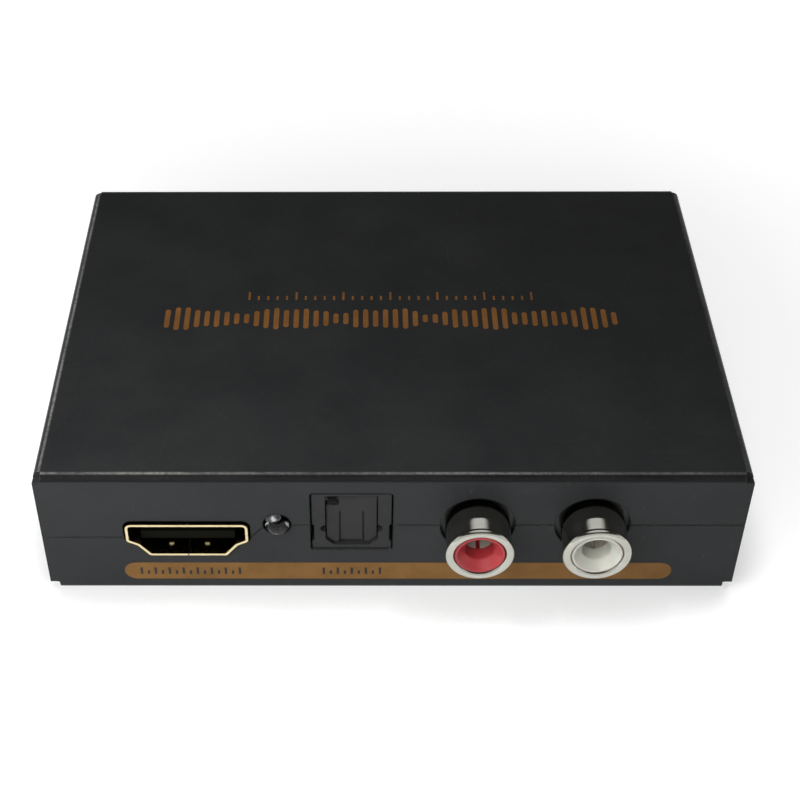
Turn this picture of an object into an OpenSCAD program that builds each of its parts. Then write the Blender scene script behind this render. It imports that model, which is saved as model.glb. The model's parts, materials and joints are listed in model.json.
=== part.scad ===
// Audio extractor box: a folded steel case with a circuit board, sockets, jacks and a slide switch.
// Millimetres. X runs right along the front panel, Y runs back and Z runs up.
// The origin is the middle of the case's underside.

/* [Case] */
// Outer width of the case
case_w = 86; // [84:1:110]
// Outer depth of the case, without what stands out of its panels
case_d = 60; // [58:1:80]
// Outer height of the case
case_h = 20; // [19.5:0.5:28]
// Thickness of the folded sheet
sheet_t = 0.8; // [0.7:0.05:1.0]
// Outer radius of the folds
bend_r = 1.0; // [0.8:0.1:1.4]
// Gap between the cover and the tray along the seam
seam_gap = 0.15; // [0.1:0.05:0.25]
// Gap where a side flange butts against an end flange
butt_gap = 0.15; // [0.1:0.05:0.25]
// Reach of the bend reliefs past the sheet and the slits, at the cover's corners
cover_relief = 0.05; // [0.05:0.05:0.2]
// Reach of the bend reliefs past the sheet and the slits, at the tray's corners
tray_relief = 0.2; // [0.1:0.05:0.4]
// Height that the tray's bend reliefs have over their reach
tray_relief_rise = 0.3; // [0.1:0.05:0.5]
// Height at which the seam meets the video sockets, above their undersides
seam_socket_rise = 2.9; // [2.6:0.1:3.2]

/* [Case fastening] */
// Radius of the threaded posts that hang from the cover
post_r = 2.4; // [2.2:0.1:2.6]
// Gap between a post and the case's walls
post_inset = 0.8; // [0.6:0.1:1.4]
// Radius of the case screws' shanks
case_screw_r = 1.2; // [1.0:0.05:1.3]
// Radius of the case screws' countersunk heads
case_head_r = 2.3; // [2.2:0.05:2.4]
// Length of the case screws
case_screw_l = 8; // [6:0.5:10]

/* [Board] */
// Share of the height that the board and its sockets leave free which lies under the board
board_rise_share = 0.724; // [0.69:0.002:0.75]
// Thickness of the board
board_t = 1.6; // [1.2:0.1:1.6]
// Gap between the board's edges and the case's walls
board_gap = 1.2; // [1:0.1:1.5]
// Radius of the board screws' shanks
board_screw_r = 0.95; // [0.85:0.05:1]
// Distance of the board screws from the board's side edges
board_screw_inset = 3.6; // [3.4:0.1:4]
// Distance between the board screws of one side
board_screw_pitch = 28; // [24:1:32]

/* [Video sockets] */
// Place of the output socket along the front panel, as a share of the case's width
video_out_share = -0.292; // [-0.3:0.002:-0.286]
// Place of the input socket along the rear panel, as a share of the case's width
video_in_share = -0.256; // [-0.28:0.004:-0.232]
// Width of a socket's shell
video_w = 15; // [14.8:0.1:15.2]
// Height of a socket's shell
video_h = 5.45; // [5.3:0.05:5.6]
// Thickness of a socket's shell
video_wall = 0.32; // [0.28:0.01:0.36]
// Depth of a socket's shell behind the panel
video_depth = 12; // [11.5:0.5:14]
// Distance by which a shell stands out of the panel
video_proud = 0.35; // [0.2:0.05:0.6]
// Gap round a shell in the panel
video_gap = 0.3; // [0.2:0.05:0.35]

/* [Status lamp] */
// Place of the lamp, as a share of the gap between the video socket and the optical socket
lamp_gap_share = 0.46; // [0.42:0.02:0.5]
// Radius of the lamp's lens
lamp_r = 1.5; // [1.4:0.05:1.55]
// Distance by which the lamp's dome stands out of the panel
lamp_proud = 1.3; // [0.9:0.1:1.5]

/* [Optical socket] */
// Place of the optical socket along the front panel, as a share of the case's width
optical_share = -0.057; // [-0.06:0.001:-0.055]
// Width of the optical socket's housing
optical_w = 9.7; // [9.6:0.05:9.9]
// Height of the optical socket's housing
optical_h = 10.35; // [10.3:0.05:10.6]
// Depth of the optical socket's housing behind the panel's face
optical_depth = 13.5; // [13.2:0.1:14.5]
// Width of the optical socket's mouth
mouth_w = 6.4; // [6.2:0.1:6.6]
// Height of the optical socket's mouth
mouth_h = 8.45; // [8.2:0.05:8.5]
// Thickness of the shutter
shutter_t = 0.9; // [0.8:0.05:1.0]

/* [Phono jacks] */
// Place of the middle between the two jacks, as a share of the case's width
jack_mid_share = 0.203; // [0.2:0.001:0.21]
// Distance between the two jacks
jack_pitch = 14; // [13.6:0.1:14.4]
// Outer radius of a jack's sleeve
sleeve_r = 3.95; // [3.85:0.05:4]
// Outer radius of the rolled bead at a sleeve's mouth
bead_r = 4.15; // [4.1:0.05:4.2]
// Distance by which a jack stands out of the panel
jack_proud = 5.2; // [4.6:0.1:6]
// Radius of the hole that takes the plug's pin
pin_hole_r = 1.75; // [1.65:0.05:1.8]
// Radius of the panel's hole round a jack
jack_panel_r = 4.6; // [4.5:0.05:4.7]

/* [Power socket] */
// Place of the power socket along the rear panel, as a share of the case's width
power_share = 0.314; // [0.302:0.002:0.326]
// Radius of the power socket's bore
power_bore_r = 3.15; // [3:0.05:3.2]
// Radius of the power socket's centre pin
power_pin_r = 1.0; // [0.9:0.05:1.05]

/* [Sound mode switch] */
// Place of the switch along the rear panel, as a share of the case's width
switch_share = 0.0465; // [0.035:0.0005:0.07]
// Distance between two of the switch's three positions
switch_step = 2; // [1.6:0.1:2]
// Width of the knob's stem
stem_w = 3; // [2.8:0.1:3.2]
// Distance by which the knob stands out of the panel
stem_proud = 1.9; // [1.6:0.1:2.2]

/* [Hidden] */
$fn = 64;

// Cuts run past the faces that they open by this much
overrun = 1;
// Steps of a rounded corner in an outline
fillet_steps = 6;
// Seat gap between a moulding and what is pushed into it
seat_gap = 0.02;

// Case, derived
front_y = -case_d / 2;
rear_y = case_d / 2;
side_x = case_w / 2;
jack_body_h = 11;
power_h = 11;
free_h = case_h - 2 * sheet_t - board_t - max(jack_body_h, power_h, optical_h);
standoff_h = free_h * board_rise_share;
board_bottom = sheet_t + standoff_h;
board_top = board_bottom + board_t;

// Places along the panels
video_out_x = case_w * video_out_share;
video_in_x = case_w * video_in_share;
optical_x = case_w * optical_share;
jack_mid_x = case_w * jack_mid_share;
power_x = case_w * power_share;
switch_x = case_w * switch_share;
lamp_gap_x0 = video_out_x + video_w / 2;
lamp_gap_x1 = optical_x - optical_w / 2;
lamp_x = lamp_gap_x0 + (lamp_gap_x1 - lamp_gap_x0) * lamp_gap_share;

// Case fastening
post_x = side_x - sheet_t - post_inset - post_r;
post_y = rear_y - sheet_t - post_inset - post_r;
post_foot_gap = 0.1;
thread_gap = 0.05;
head_gap = 0.05;
head_h = 1.1;
recess_arm = 2.6;
recess_t = 0.6;
recess_depth = 0.7;

// Board
board_w = case_w - 2 * (sheet_t + board_gap);
board_d = case_d - 2 * (sheet_t + board_gap);
notch_gap = 0.6;
standoff_r = 2.2;
board_hole_gap = 0.2;
pan_head_r = 1.9;
pan_head_h = 1.2;
pan_fillet = 0.5;
board_screw_bite_share = 0.43;
board_screw_l = board_t + standoff_h * board_screw_bite_share;
lead_hole_gap = 0.1;
lead_stub = 0.9;

// Video sockets
video_lift = 0.1;
video_narrow_w = 9.5;
video_shoulder_w = 12.3;
video_side_z = 2.5;
video_shoulder_z = 1.8;
video_top_fillet = 0.75;
video_side_fillet = 0.5;
video_low_fillet = 0.45;
video_slit = 0.12;
dimple_r = 0.45;
dimple_pitch = 4.5;
dimple_set_back = 1.85;
leg_w = 1.5;
leg_places = [2.4, 8.6];
tongue_w = 11.6;
tongue_t = 1.3;
tongue_tip = 1.0;
tongue_z = 2.1;
insulator_l = 3.2;
insulator_back = 0.3;
contact_w = 0.36;
contact_t = 0.14;
contact_pitch = 1.0;
contact_tip = 0.9;
contact_foot = 0.9;
contact_drop = [0.5, 1.2];
upper_contacts = 10;
lower_contacts = 9;

// Status lamp
lamp_z = 5.3;
lamp_hole_gap = 0.25;
lamp_flange_r = 1.9;
lamp_flange_t = 0.8;
lamp_flange_y = 3.2;
lead_t = 0.45;
lamp_lead_pitch = 2.54;
lamp_lead_reach = 2.2;

// Optical socket
optical_recess = 0.2;
optical_sill = 0.95;
optical_gap = 0.2;
optical_top_gap = 0.35;
optical_panel_fillet = 0.45;
optical_step_y = 0.3;
mouth_z = 1.55;
mouth_chamfer = 1.0;
mouth_depth = 9.4;
lock_r = 0.6;
lock_z = 4.4;
lock_depth = 3;
side_groove_t = 0.25;
side_groove_z = 2.3;
side_groove_h = 2.8;
side_groove_l = 2.5;
guide_r = 1.3;
guide_wall = 1.2;
optical_axis_z = 5.6;
pocket_w = 6.2;
pocket_h = 8.2;
back_cover_t = 0.9;
shutter_gap = 0.12;
shutter_set_back = 0.35;
shutter_top_gap = 0.5;
hinge_pin_r = 0.38;
hinge_gap = 0.04;
hinge_pin_l = 0.6;
shutter_groove_w = 0.16;
shutter_groove_t = 0.2;
shutter_groove_pitch = 2.85;
shutter_groove_z = 5.5;
shutter_notch_h = 0.38;
spring_room = 1.5;
spring_wire_r = 0.1;
spring_coil_r = 0.62;
spring_whole_turns = 5;
spring_lift_angle = 60;
spring_leg = 2.6;
spring_sides = 8;
spring_ring_steps = 20;
emitter_w = 5.6;
emitter_h = 6.4;
emitter_t = 1.9;
emitter_z = 1.4;
emitter_lens_r = 1.15;
emitter_lens_l = 0.9;
emitter_lead_pitch = 2.2;
small_lead_t = 0.4;

// Phono jacks
jack_z = 5.2;
jack_body_side = 6.3;
jack_body_d = 9.5;
panel_back_gap = 0.2;
sleeve_wall = 0.6;
sleeve_l = 6;
bead_l = 1.1;
bead_fillet = 0.52;
bead_mouth_r = 3.05;
insert_lip_r = 3.0;
insert_lip_gap = 0.04;
insert_cone_l = 1.2;
insert_cone_r = 2.75;
pin_hole_l = 1.8;
contact_tube_wall = 0.3;
contact_tube_gap = 0.25;
contact_tube_r = pin_hole_r + contact_tube_wall;
contact_bore_r = contact_tube_r + contact_tube_gap;
contact_slot_w = 0.5;
contact_tail_w = 1.2;
lug_w = 2;
lug_t = 0.5;
lug_set_back = 1.2;

// Power socket
power_w = 9;
power_d = 13.2;
power_z = 6.5;
power_collar_r = 3.9;
power_panel_gap = 0.25;
power_face_set_back = 0.1;
power_bore_l = 10;
power_pin_set_back = 1.0;
power_pin_dome = 0.5;
power_root_r = 1.3;
power_terminal_w = 3.6;
power_terminal_t = 0.5;
power_spring_w = 1.6;
power_spring_t = 0.3;
power_spring_l = 5;

// Sound mode switch
switch_w = 12.4;
switch_h = 6.2;
switch_d = 5.4;
switch_lift = 0.1;
switch_wall = 0.35;
switch_z = 3.3;
stem_h = 2.6;
stem_gap = 0.3;
panel_slot_gap = 0.5;
slot_fillet = 0.4;
carrier_w = 7;
carrier_h = 4.2;
carrier_t = 1.3;
carrier_gap = 0.15;
knob_ribs = 3;
knob_rib_t = 0.25;
switch_pin_t = 0.5;
switch_pins_n = 4;
switch_pin_pitch = 2;

// Parts on the board, whose places are shares of the board's width and depth
chip_lift = 0.1;
video_chip_side = 14;
video_chip_h = 1.4;
video_chip_shares = [-0.171, 0];
video_chip_leads_n = 16;
video_chip_pitch = 0.8;
chip_chamfer = 0.5;
mark_r = 0.5;
mark_depth = 0.1;
lead_reach = 1.1;
lead_w = 0.3;
lead_foil = 0.15;
small_chip_pitch = 1.27;
small_chip_w = 3.9;
small_chip_h = 1.4;
audio_chip_l = 9.9;
audio_chip_leads_n = 7;
audio_chip_shares = [0.213, -0.205];
memory_chip_l = 4.9;
memory_chip_leads_n = 3;
memory_chip_shares = [-0.354, -0.071];
regulator_l = 6.5;
regulator_w = 3.5;
regulator_h = 1.6;
regulator_shares = [[0.117, 0.214], [0.25, 0.036]];
regulator_tab_w = 3;
regulator_pitch = 2.3;
crystal_l = 10.5;
crystal_w = 4;
crystal_h = 3.4;
crystal_rim = 0.4;
crystal_shares = [0.039, -0.071];
inductor_side = 7;
inductor_h = 4;
inductor_base_t = 0.8;
inductor_groove = 0.9;
inductor_shares = [0.227, 0.214];
can_r = 2.5;
can_h = 5.2;
can_crimp = 0.25;
can_base_side = 5.3;
can_base_t = 0.9;
can_shares = [[0.373, -0.188], [0.373, -0.068], [0.373, 0.052], [0.373, 0.171], [0.11, 0.08]];
ceramic_l = 1.6;
ceramic_w = 0.8;
ceramic_h = 0.8;
resistor_l = 1.6;
resistor_w = 0.8;
resistor_h = 0.45;
part_pitch = 1.8;
resistor_row_shares = [[-0.378, -0.221], [-0.378, 0.221], [0.141, -0.116]];
resistor_counts = [8, 8, 5];
ceramic_row_shares = [
    [-0.378, -0.182], [-0.378, 0.182], [-0.032, 0.17], [-0.032, 0.116], [0, -0.161]
];
ceramic_counts = [5, 5, 4, 4, 4];

// Boxes given by their low and high edges
module slab(x0, x1, y0, y1, z0, z1) {
    translate([x0, y0, z0])
        cube([x1 - x0, y1 - y0, z1 - z0]);
}

// Rods along one axis
module rod_y(r, y0, y1, x = 0, z = 0) {
    translate([x, y0, z])
        rotate([-90, 0, 0])
            cylinder(r = r, h = y1 - y0);
}

module rod_x(r, x0, x1, y = 0, z = 0) {
    translate([x0, y, z])
        rotate([0, 90, 0])
            cylinder(r = r, h = x1 - x0);
}

module rod_z(r, z0, z1, x = 0, y = 0) {
    translate([x, y, z0])
        cylinder(r = r, h = z1 - z0);
}

// An outline in X and Z, drawn out along Y
module drawn_y(y0, y1) {
    translate([0, y1, 0])
        rotate([90, 0, 0])
            linear_extrude(height = y1 - y0)
                children();
}

// An outline in Y and Z, drawn out along X
module drawn_x(x0, x1) {
    translate([x0, 0, 0])
        rotate([90, 0, 90])
            linear_extrude(height = x1 - x0)
                children();
}

// A profile of radius and distance, turned about the Y axis with its distances running along +Y
module turned_y(x = 0, z = 0) {
    translate([x, 0, z])
        rotate([-90, 0, 0])
            rotate_extrude()
                children();
}

function unit(v) = v / norm(v);
function before(i, n) = (i + n - 1) % n;
function after(i, n) = (i + 1) % n;

// Arc that rounds the corner p between the points a and b
function fillet(p, a, b, r) =
    let (
        u = unit(a - p),
        v = unit(b - p),
        half = acos(u * v) / 2,
        middle = p + unit(u + v) * r / sin(half),
        s = p + u * r / tan(half) - middle,
        e = p + v * r / tan(half) - middle,
        start = atan2(s[1], s[0]),
        turn = atan2(s[0] * e[1] - s[1] * e[0], s * e)
    )
    [
        for (i = [0:fillet_steps])
            let (angle = start + turn * i / fillet_steps)
            middle + r * [cos(angle), sin(angle)]
    ];

// Outline whose corners are rounded by the radii, one for each point; zero leaves a sharp corner
function rounded(points, radii) =
    let (n = len(points))
    [
        for (i = [0:n - 1])
            each radii[i] > 0
                ? fillet(points[i], points[before(i, n)], points[after(i, n)], radii[i])
                : [points[i]]
    ];

function outward(a, b) = let (d = unit(b - a)) [d[1], -d[0]];

// Outline moved out by g on every side, for points that run anticlockwise
function grown(points, g) =
    let (n = len(points))
    [
        for (i = [0:n - 1])
            let (
                p = points[i],
                n1 = outward(points[before(i, n)], p),
                n2 = outward(p, points[after(i, n)])
            )
            p + g * (n1 + n2) / (1 + n1 * n2)
    ];

function rectangle(w, z0, z1) = [[w / 2, z0], [w / 2, z1], [-w / 2, z1], [-w / 2, z0]];
function same(value, count) = [for (i = [1:count]) value];

// Places of a row of things, centred on zero
function row(count, pitch) = [for (i = [0:count - 1]) (i - (count - 1) / 2) * pitch];

// Frames of the sockets: the panel's face is at y = 0, y runs into the case and z = 0 is the board
module at_front(x) {
    translate([x, front_y, board_top])
        children();
}

module at_rear(x) {
    translate([x, rear_y, board_top])
        rotate([0, 0, 180])
            children();
}

module on_board(shares) {
    translate([board_w * shares[0], board_d * shares[1], board_top])
        children();
}

module at_corners(x, y) {
    for (sx = [-1, 1], sy = [-1, 1])
        translate([sx * x, sy * y, 0])
            children();
}

// One corner's cut, mirrored to all four corners
module in_corners() {
    for (sx = [0, 1], sy = [0, 1])
        mirror([sx, 0, 0])
            mirror([0, sy, 0])
                children();
}

// Case

seam_low = board_top + video_lift + seam_socket_rise;
seam_high = board_top + jack_z;

module fold_block() {
    intersection() {
        drawn_y(front_y, rear_y)
            fold_section(case_w);
        drawn_x(-side_x, side_x)
            fold_section(case_d);
    }
}

// A rectangle with true round corners, so that the folds are true cylinders
module fold_section(w) {
    translate([-w / 2 + bend_r, 0])
        square([w - 2 * bend_r, case_h]);
    translate([-w / 2, bend_r])
        square([w, case_h - 2 * bend_r]);
    for (sx = [-1, 1], z = [bend_r, case_h - bend_r])
        translate([sx * (w / 2 - bend_r), z])
            circle(r = bend_r);
}

module sheet_box() {
    difference() {
        fold_block();
        slab(
            -side_x + sheet_t, side_x - sheet_t,
            front_y + sheet_t, rear_y - sheet_t,
            sheet_t, case_h - sheet_t
        );
        panel_openings();
    }
}

// The region above the seam, or below it, along a panel where it climbs from x0 to x1
function seam_above(x0, x1, lift) = [
    [-side_x - overrun, seam_low + lift],
    [x0, seam_low + lift],
    [x1, seam_high + lift],
    [side_x + overrun, seam_high + lift],
    [side_x + overrun, case_h + overrun],
    [-side_x - overrun, case_h + overrun]
];
function seam_below(x0, x1, drop) = [
    [-side_x - overrun, -overrun],
    [side_x + overrun, -overrun],
    [side_x + overrun, seam_high - drop],
    [x1, seam_high - drop],
    [x0, seam_low - drop],
    [-side_x - overrun, seam_low - drop]
];

front_climb = [video_out_x + video_w / 2 + video_gap, lamp_x - lamp_r];
rear_climb = [switch_x + switch_w / 2, power_x - power_collar_r - switch_w / 2];

module above_seam() {
    drawn_y(front_y - overrun, 0)
        polygon(seam_above(front_climb[0], front_climb[1], seam_gap / 2));
    drawn_y(0, rear_y + overrun)
        polygon(seam_above(rear_climb[0], rear_climb[1], seam_gap / 2));
}

module below_seam() {
    drawn_y(front_y - overrun, 0)
        polygon(seam_below(front_climb[0], front_climb[1], seam_gap / 2));
    drawn_y(0, rear_y + overrun)
        polygon(seam_below(rear_climb[0], rear_climb[1], seam_gap / 2));
}

// Slits between the side flanges and the end flanges, from z0 to z1
module butt_slits(z0, z1) {
    for (sx = [-1, 1], sy = [-1, 1])
        translate([sx * side_x, sy * (rear_y - sheet_t - butt_gap / 2), (z0 + z1) / 2])
            cube([2 * sheet_t, butt_gap, z1 - z0], center = true);
}

module corner_reliefs(reach, rise, z) {
    side = 2 * (sheet_t + butt_gap + reach);
    at_corners(side_x, rear_y)
        translate([0, 0, z])
            cube([side, side, side + 2 * rise], center = true);
}

module panel_openings() {
    at_front(video_out_x)
        video_opening();
    at_rear(video_in_x)
        video_opening();
    at_front(lamp_x)
        rod_y(lamp_r + lamp_hole_gap, -overrun, sheet_t + overrun, 0, lamp_z);
    at_front(optical_x)
        optical_opening();
    at_front(jack_mid_x)
        for (x = row(2, jack_pitch))
            rod_y(jack_panel_r, -overrun, sheet_t + overrun, x, jack_z);
    at_rear(power_x)
        rod_y(power_collar_r + power_panel_gap, -overrun, sheet_t + overrun, 0, power_z);
    at_rear(switch_x)
        switch_opening();
}

module top_cover() {
    color([0.16, 0.17, 0.17])
        difference() {
            intersection() {
                sheet_box();
                above_seam();
            }
            butt_slits(seam_low - overrun, case_h - sheet_t);
            corner_reliefs(cover_relief, 0, case_h);
        }
}

module bottom_tray() {
    color([0.17, 0.18, 0.18])
        difference() {
            intersection() {
                sheet_box();
                below_seam();
            }
            butt_slits(sheet_t, seam_high + overrun);
            corner_reliefs(tray_relief, tray_relief_rise, 0);
            at_corners(post_x, post_y)
                translate([0, 0, -head_gap])
                    countersink(head_gap);
        }
}

// Cone and hole for a countersunk screw, larger than the screw by the gap
module countersink(gap) {
    cylinder(r1 = case_head_r + gap, r2 = case_screw_r + gap, h = head_h);
    rod_z(case_screw_r + gap, 0, case_screw_l);
}

module cover_posts() {
    color([0.75, 0.76, 0.78])
        at_corners(post_x, post_y)
            difference() {
                rod_z(post_r, sheet_t + post_foot_gap, case_h - sheet_t);
                translate([0, 0, -head_gap])
                    countersink(head_gap);
                rod_z(case_screw_r + thread_gap, 0, case_screw_l + overrun);
            }
}

module cross_recess(z, facing) {
    for (turn = [0, 90])
        rotate([0, 0, turn])
            translate([-recess_arm / 2, -recess_t / 2, z - (facing > 0 ? recess_depth : 0)])
                cube([recess_arm, recess_t, recess_depth]);
}

module case_screws() {
    color([0.15, 0.15, 0.16])
        at_corners(post_x, post_y)
            difference() {
                union() {
                    cylinder(r1 = case_head_r, r2 = case_screw_r, h = head_h);
                    rod_z(case_screw_r, 0, case_screw_l);
                }
                cross_recess(0, -1);
            }
}

// Board and what holds it

board_screw_x = board_w / 2 - board_screw_inset;

module board_standoffs() {
    color([0.78, 0.78, 0.8])
        at_corners(board_screw_x, board_screw_pitch / 2)
            difference() {
                rod_z(standoff_r, sheet_t, board_bottom);
                rod_z(board_screw_r + thread_gap, sheet_t + standoff_h / 4, board_bottom + overrun);
            }
}

module board_screws() {
    color([0.7, 0.7, 0.72])
        at_corners(board_screw_x, board_screw_pitch / 2)
            difference() {
                union() {
                    rod_z(board_screw_r, board_top - board_screw_l, board_top + pan_fillet);
                    rod_z(pan_head_r, board_top, board_top + pan_head_h - pan_fillet);
                    translate([0, 0, board_top + pan_head_h - pan_fillet])
                        cylinder(r1 = pan_head_r, r2 = pan_head_r - pan_fillet, h = pan_fillet);
                }
                translate([0, 0, board_top])
                    cross_recess(pan_head_h, 1);
            }
}

module circuit_board() {
    color([0.06, 0.3, 0.14])
        difference() {
            slab(-board_w / 2, board_w / 2, -board_d / 2, board_d / 2, board_bottom, board_top);
            in_corners()
                slab(
                    post_x - post_r - notch_gap, side_x,
                    post_y - post_r - notch_gap, rear_y,
                    board_bottom - overrun, board_top + overrun
                );
            at_corners(board_screw_x, board_screw_pitch / 2)
                rod_z(board_screw_r + board_hole_gap, board_bottom - overrun, board_top + overrun);
            lead_holes();
        }
}

// Holes in the board for every lead and leg that goes through it
module lead_holes() {
    at_front(video_out_x)
        video_legs(lead_hole_gap);
    at_rear(video_in_x)
        video_legs(lead_hole_gap);
    at_front(lamp_x)
        lamp_lead_drops(lead_hole_gap);
    at_front(optical_x)
        emitter_lead_drops(lead_hole_gap);
    at_front(jack_mid_x)
        for (x = row(2, jack_pitch))
            translate([x, 0, 0]) {
                jack_lug(lead_hole_gap);
                jack_tail(lead_hole_gap);
            }
    at_rear(power_x)
        power_terminal_drops(lead_hole_gap);
    at_rear(switch_x)
        switch_pin_drops(lead_hole_gap);
}

// A square lead through the board, centred at x and y, wider by the gap
module drop(x, y, w, t, top, gap) {
    slab(
        x - w / 2 - gap, x + w / 2 + gap,
        y - t / 2 - gap, y + t / 2 + gap,
        -board_t - lead_stub - gap, top
    );
}

// Video sockets

video_points = [
    [video_w / 2, video_side_z],
    [video_w / 2, video_h],
    [-video_w / 2, video_h],
    [-video_w / 2, video_side_z],
    [-video_shoulder_w / 2, video_shoulder_z],
    [-video_narrow_w / 2, 0],
    [video_narrow_w / 2, 0],
    [video_shoulder_w / 2, video_shoulder_z]
];
video_radii = [
    video_side_fillet,
    video_top_fillet,
    video_top_fillet,
    video_side_fillet,
    video_side_fillet,
    video_low_fillet,
    video_low_fillet,
    video_side_fillet
];
// A reflex corner's arc grows where the others shrink
video_turns = [1, 1, 1, 1, -1, 1, 1, -1];

module video_outline(g) {
    translate([0, video_lift])
        polygon(rounded(grown(video_points, g), [for (i = [0:7]) video_radii[i] + video_turns[i] * g]));
}

module video_opening() {
    drawn_y(-overrun, sheet_t + overrun)
        video_outline(video_gap);
}

module video_legs(gap) {
    for (sx = [-1, 1], y = leg_places)
        drop(
            sx * (video_w - video_wall) / 2, y + leg_w / 2, video_wall,
            leg_w, video_lift + video_side_z + video_side_fillet, gap
        );
}

module video_shell() {
    difference() {
        union() {
            difference() {
                drawn_y(-video_proud, video_depth)
                    video_outline(0);
                drawn_y(-video_proud - overrun, video_depth + overrun)
                    video_outline(-video_wall);
            }
            video_legs(0);
            for (x = row(2, dimple_pitch))
                translate([x, dimple_set_back - video_proud, video_lift + video_wall])
                    dimple();
        }
        slab(
            -video_slit / 2, video_slit / 2,
            -video_proud - overrun, video_depth + overrun,
            video_lift - video_wall, video_lift + 2 * video_wall
        );
    }
}

// Contact dimple that stands up from the shell's floor
module dimple() {
    difference() {
        sphere(r = dimple_r);
        slab(-dimple_r, dimple_r, -dimple_r, dimple_r, -dimple_r, -video_wall / 2);
    }
}

block_y0 = video_depth - insulator_back - insulator_l;
block_y1 = video_depth - insulator_back;

module video_insulator() {
    difference() {
        union() {
            drawn_y(block_y0, block_y1)
                video_outline(-video_wall - seat_gap);
            slab(
                -tongue_w / 2, tongue_w / 2,
                tongue_tip - video_proud, block_y0,
                video_lift + tongue_z, video_lift + tongue_z + tongue_t
            );
        }
        video_contacts();
    }
}

// One row of contacts: along the tongue, out of the block's back and down to the board
module contact_row(count, z, drop_y) {
    for (x = row(count, contact_pitch))
        translate([x, 0, 0])
            drawn_x(-contact_w / 2, contact_w / 2)
                polygon([
                    [tongue_tip - video_proud + contact_tip, z],
                    [block_y1 + drop_y - contact_t, z],
                    [block_y1 + drop_y - contact_t, 0],
                    [block_y1 + drop_y + contact_foot, 0],
                    [block_y1 + drop_y + contact_foot, contact_t],
                    [block_y1 + drop_y, contact_t],
                    [block_y1 + drop_y, z + contact_t],
                    [tongue_tip - video_proud + contact_tip, z + contact_t]
                ]);
}

module video_contacts() {
    contact_row(upper_contacts, video_lift + tongue_z + tongue_t - contact_t / 2, contact_drop[1]);
    contact_row(lower_contacts, video_lift + tongue_z - contact_t / 2, contact_drop[0]);
}

module hdmi_out_shell() {
    color([0.81, 0.74, 0.52])
        at_front(video_out_x)
            video_shell();
}

module hdmi_out_insulator() {
    color([0.07, 0.07, 0.06])
        at_front(video_out_x)
            video_insulator();
}

module hdmi_out_contacts() {
    color([0.85, 0.72, 0.4])
        at_front(video_out_x)
            video_contacts();
}

module hdmi_in_shell() {
    color([0.81, 0.74, 0.52])
        at_rear(video_in_x)
            video_shell();
}

module hdmi_in_insulator() {
    color([0.07, 0.07, 0.06])
        at_rear(video_in_x)
            video_insulator();
}

module hdmi_in_contacts() {
    color([0.85, 0.72, 0.4])
        at_rear(video_in_x)
            video_contacts();
}

// Status lamp

module status_lamp() {
    color([0.8, 0.85, 0.88])
        at_front(lamp_x)
            translate([0, 0, lamp_z]) {
                translate([0, lamp_r - lamp_proud, 0])
                    sphere(r = lamp_r);
                rod_y(lamp_r, lamp_r - lamp_proud, lamp_flange_y + lamp_flange_t);
                rod_y(lamp_flange_r, lamp_flange_y, lamp_flange_y + lamp_flange_t);
            }
}

lamp_lead_y = lamp_flange_y + lamp_flange_t + lamp_lead_reach;

module lamp_lead_drops(gap) {
    for (x = row(2, lamp_lead_pitch))
        drop(x, lamp_lead_y - lead_t / 2, lead_t, lead_t, lamp_z + lead_t / 2, gap);
}

module lamp_leads() {
    color([0.75, 0.75, 0.77])
        at_front(lamp_x) {
            lamp_lead_drops(0);
            for (x = row(2, lamp_lead_pitch))
                slab(
                    x - lead_t / 2, x + lead_t / 2,
                    lamp_flange_y + lamp_flange_t, lamp_lead_y,
                    lamp_z - lead_t / 2, lamp_z + lead_t / 2
                );
        }
}

// Optical socket

mouth_points = [
    [mouth_w / 2, mouth_z + mouth_chamfer],
    [mouth_w / 2, mouth_z + mouth_h],
    [-mouth_w / 2, mouth_z + mouth_h],
    [-mouth_w / 2, mouth_z + mouth_chamfer],
    [-mouth_w / 2 + mouth_chamfer, mouth_z],
    [mouth_w / 2 - mouth_chamfer, mouth_z]
];
hinge_y = optical_recess + shutter_set_back + shutter_t / 2;
hinge_z = mouth_z + mouth_h - shutter_top_gap - shutter_t / 2;

module optical_opening() {
    drawn_y(-overrun, sheet_t + overrun)
        polygon(rounded(
            rectangle(optical_w + 2 * optical_gap, optical_sill - optical_gap, optical_h + optical_top_gap),
            same(optical_panel_fillet, 4)
        ));
}

module optical_housing() {
    color([0.13, 0.13, 0.13])
        at_front(optical_x)
            difference() {
                union() {
                    slab(
                        -optical_w / 2, optical_w / 2,
                        optical_recess, sheet_t + optical_step_y + overrun,
                        optical_sill, optical_h
                    );
                    slab(
                        -optical_w / 2, optical_w / 2,
                        sheet_t + optical_step_y, optical_depth,
                        0, optical_h
                    );
                }
                drawn_y(optical_recess - overrun, mouth_depth)
                    polygon(mouth_points);
                for (sx = [-1, 1]) {
                    rod_y(
                        lock_r, optical_recess - overrun, optical_recess + lock_depth,
                        sx * mouth_w / 2, lock_z
                    );
                    translate([sx * optical_w / 2, optical_recess, side_groove_z])
                        translate([-side_groove_t, -overrun, 0])
                            cube([2 * side_groove_t, side_groove_l + overrun, side_groove_h]);
                }
                rod_x(
                    hinge_pin_r + hinge_gap, -mouth_w / 2 - hinge_pin_l, mouth_w / 2 + hinge_pin_l,
                    hinge_y, hinge_z
                );
                rod_y(
                    guide_r, mouth_depth - overrun, mouth_depth + guide_wall + overrun,
                    0, optical_axis_z
                );
                slab(
                    -pocket_w / 2, pocket_w / 2,
                    mouth_depth + guide_wall, optical_depth + overrun,
                    -overrun, pocket_h
                );
            }
}

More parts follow.
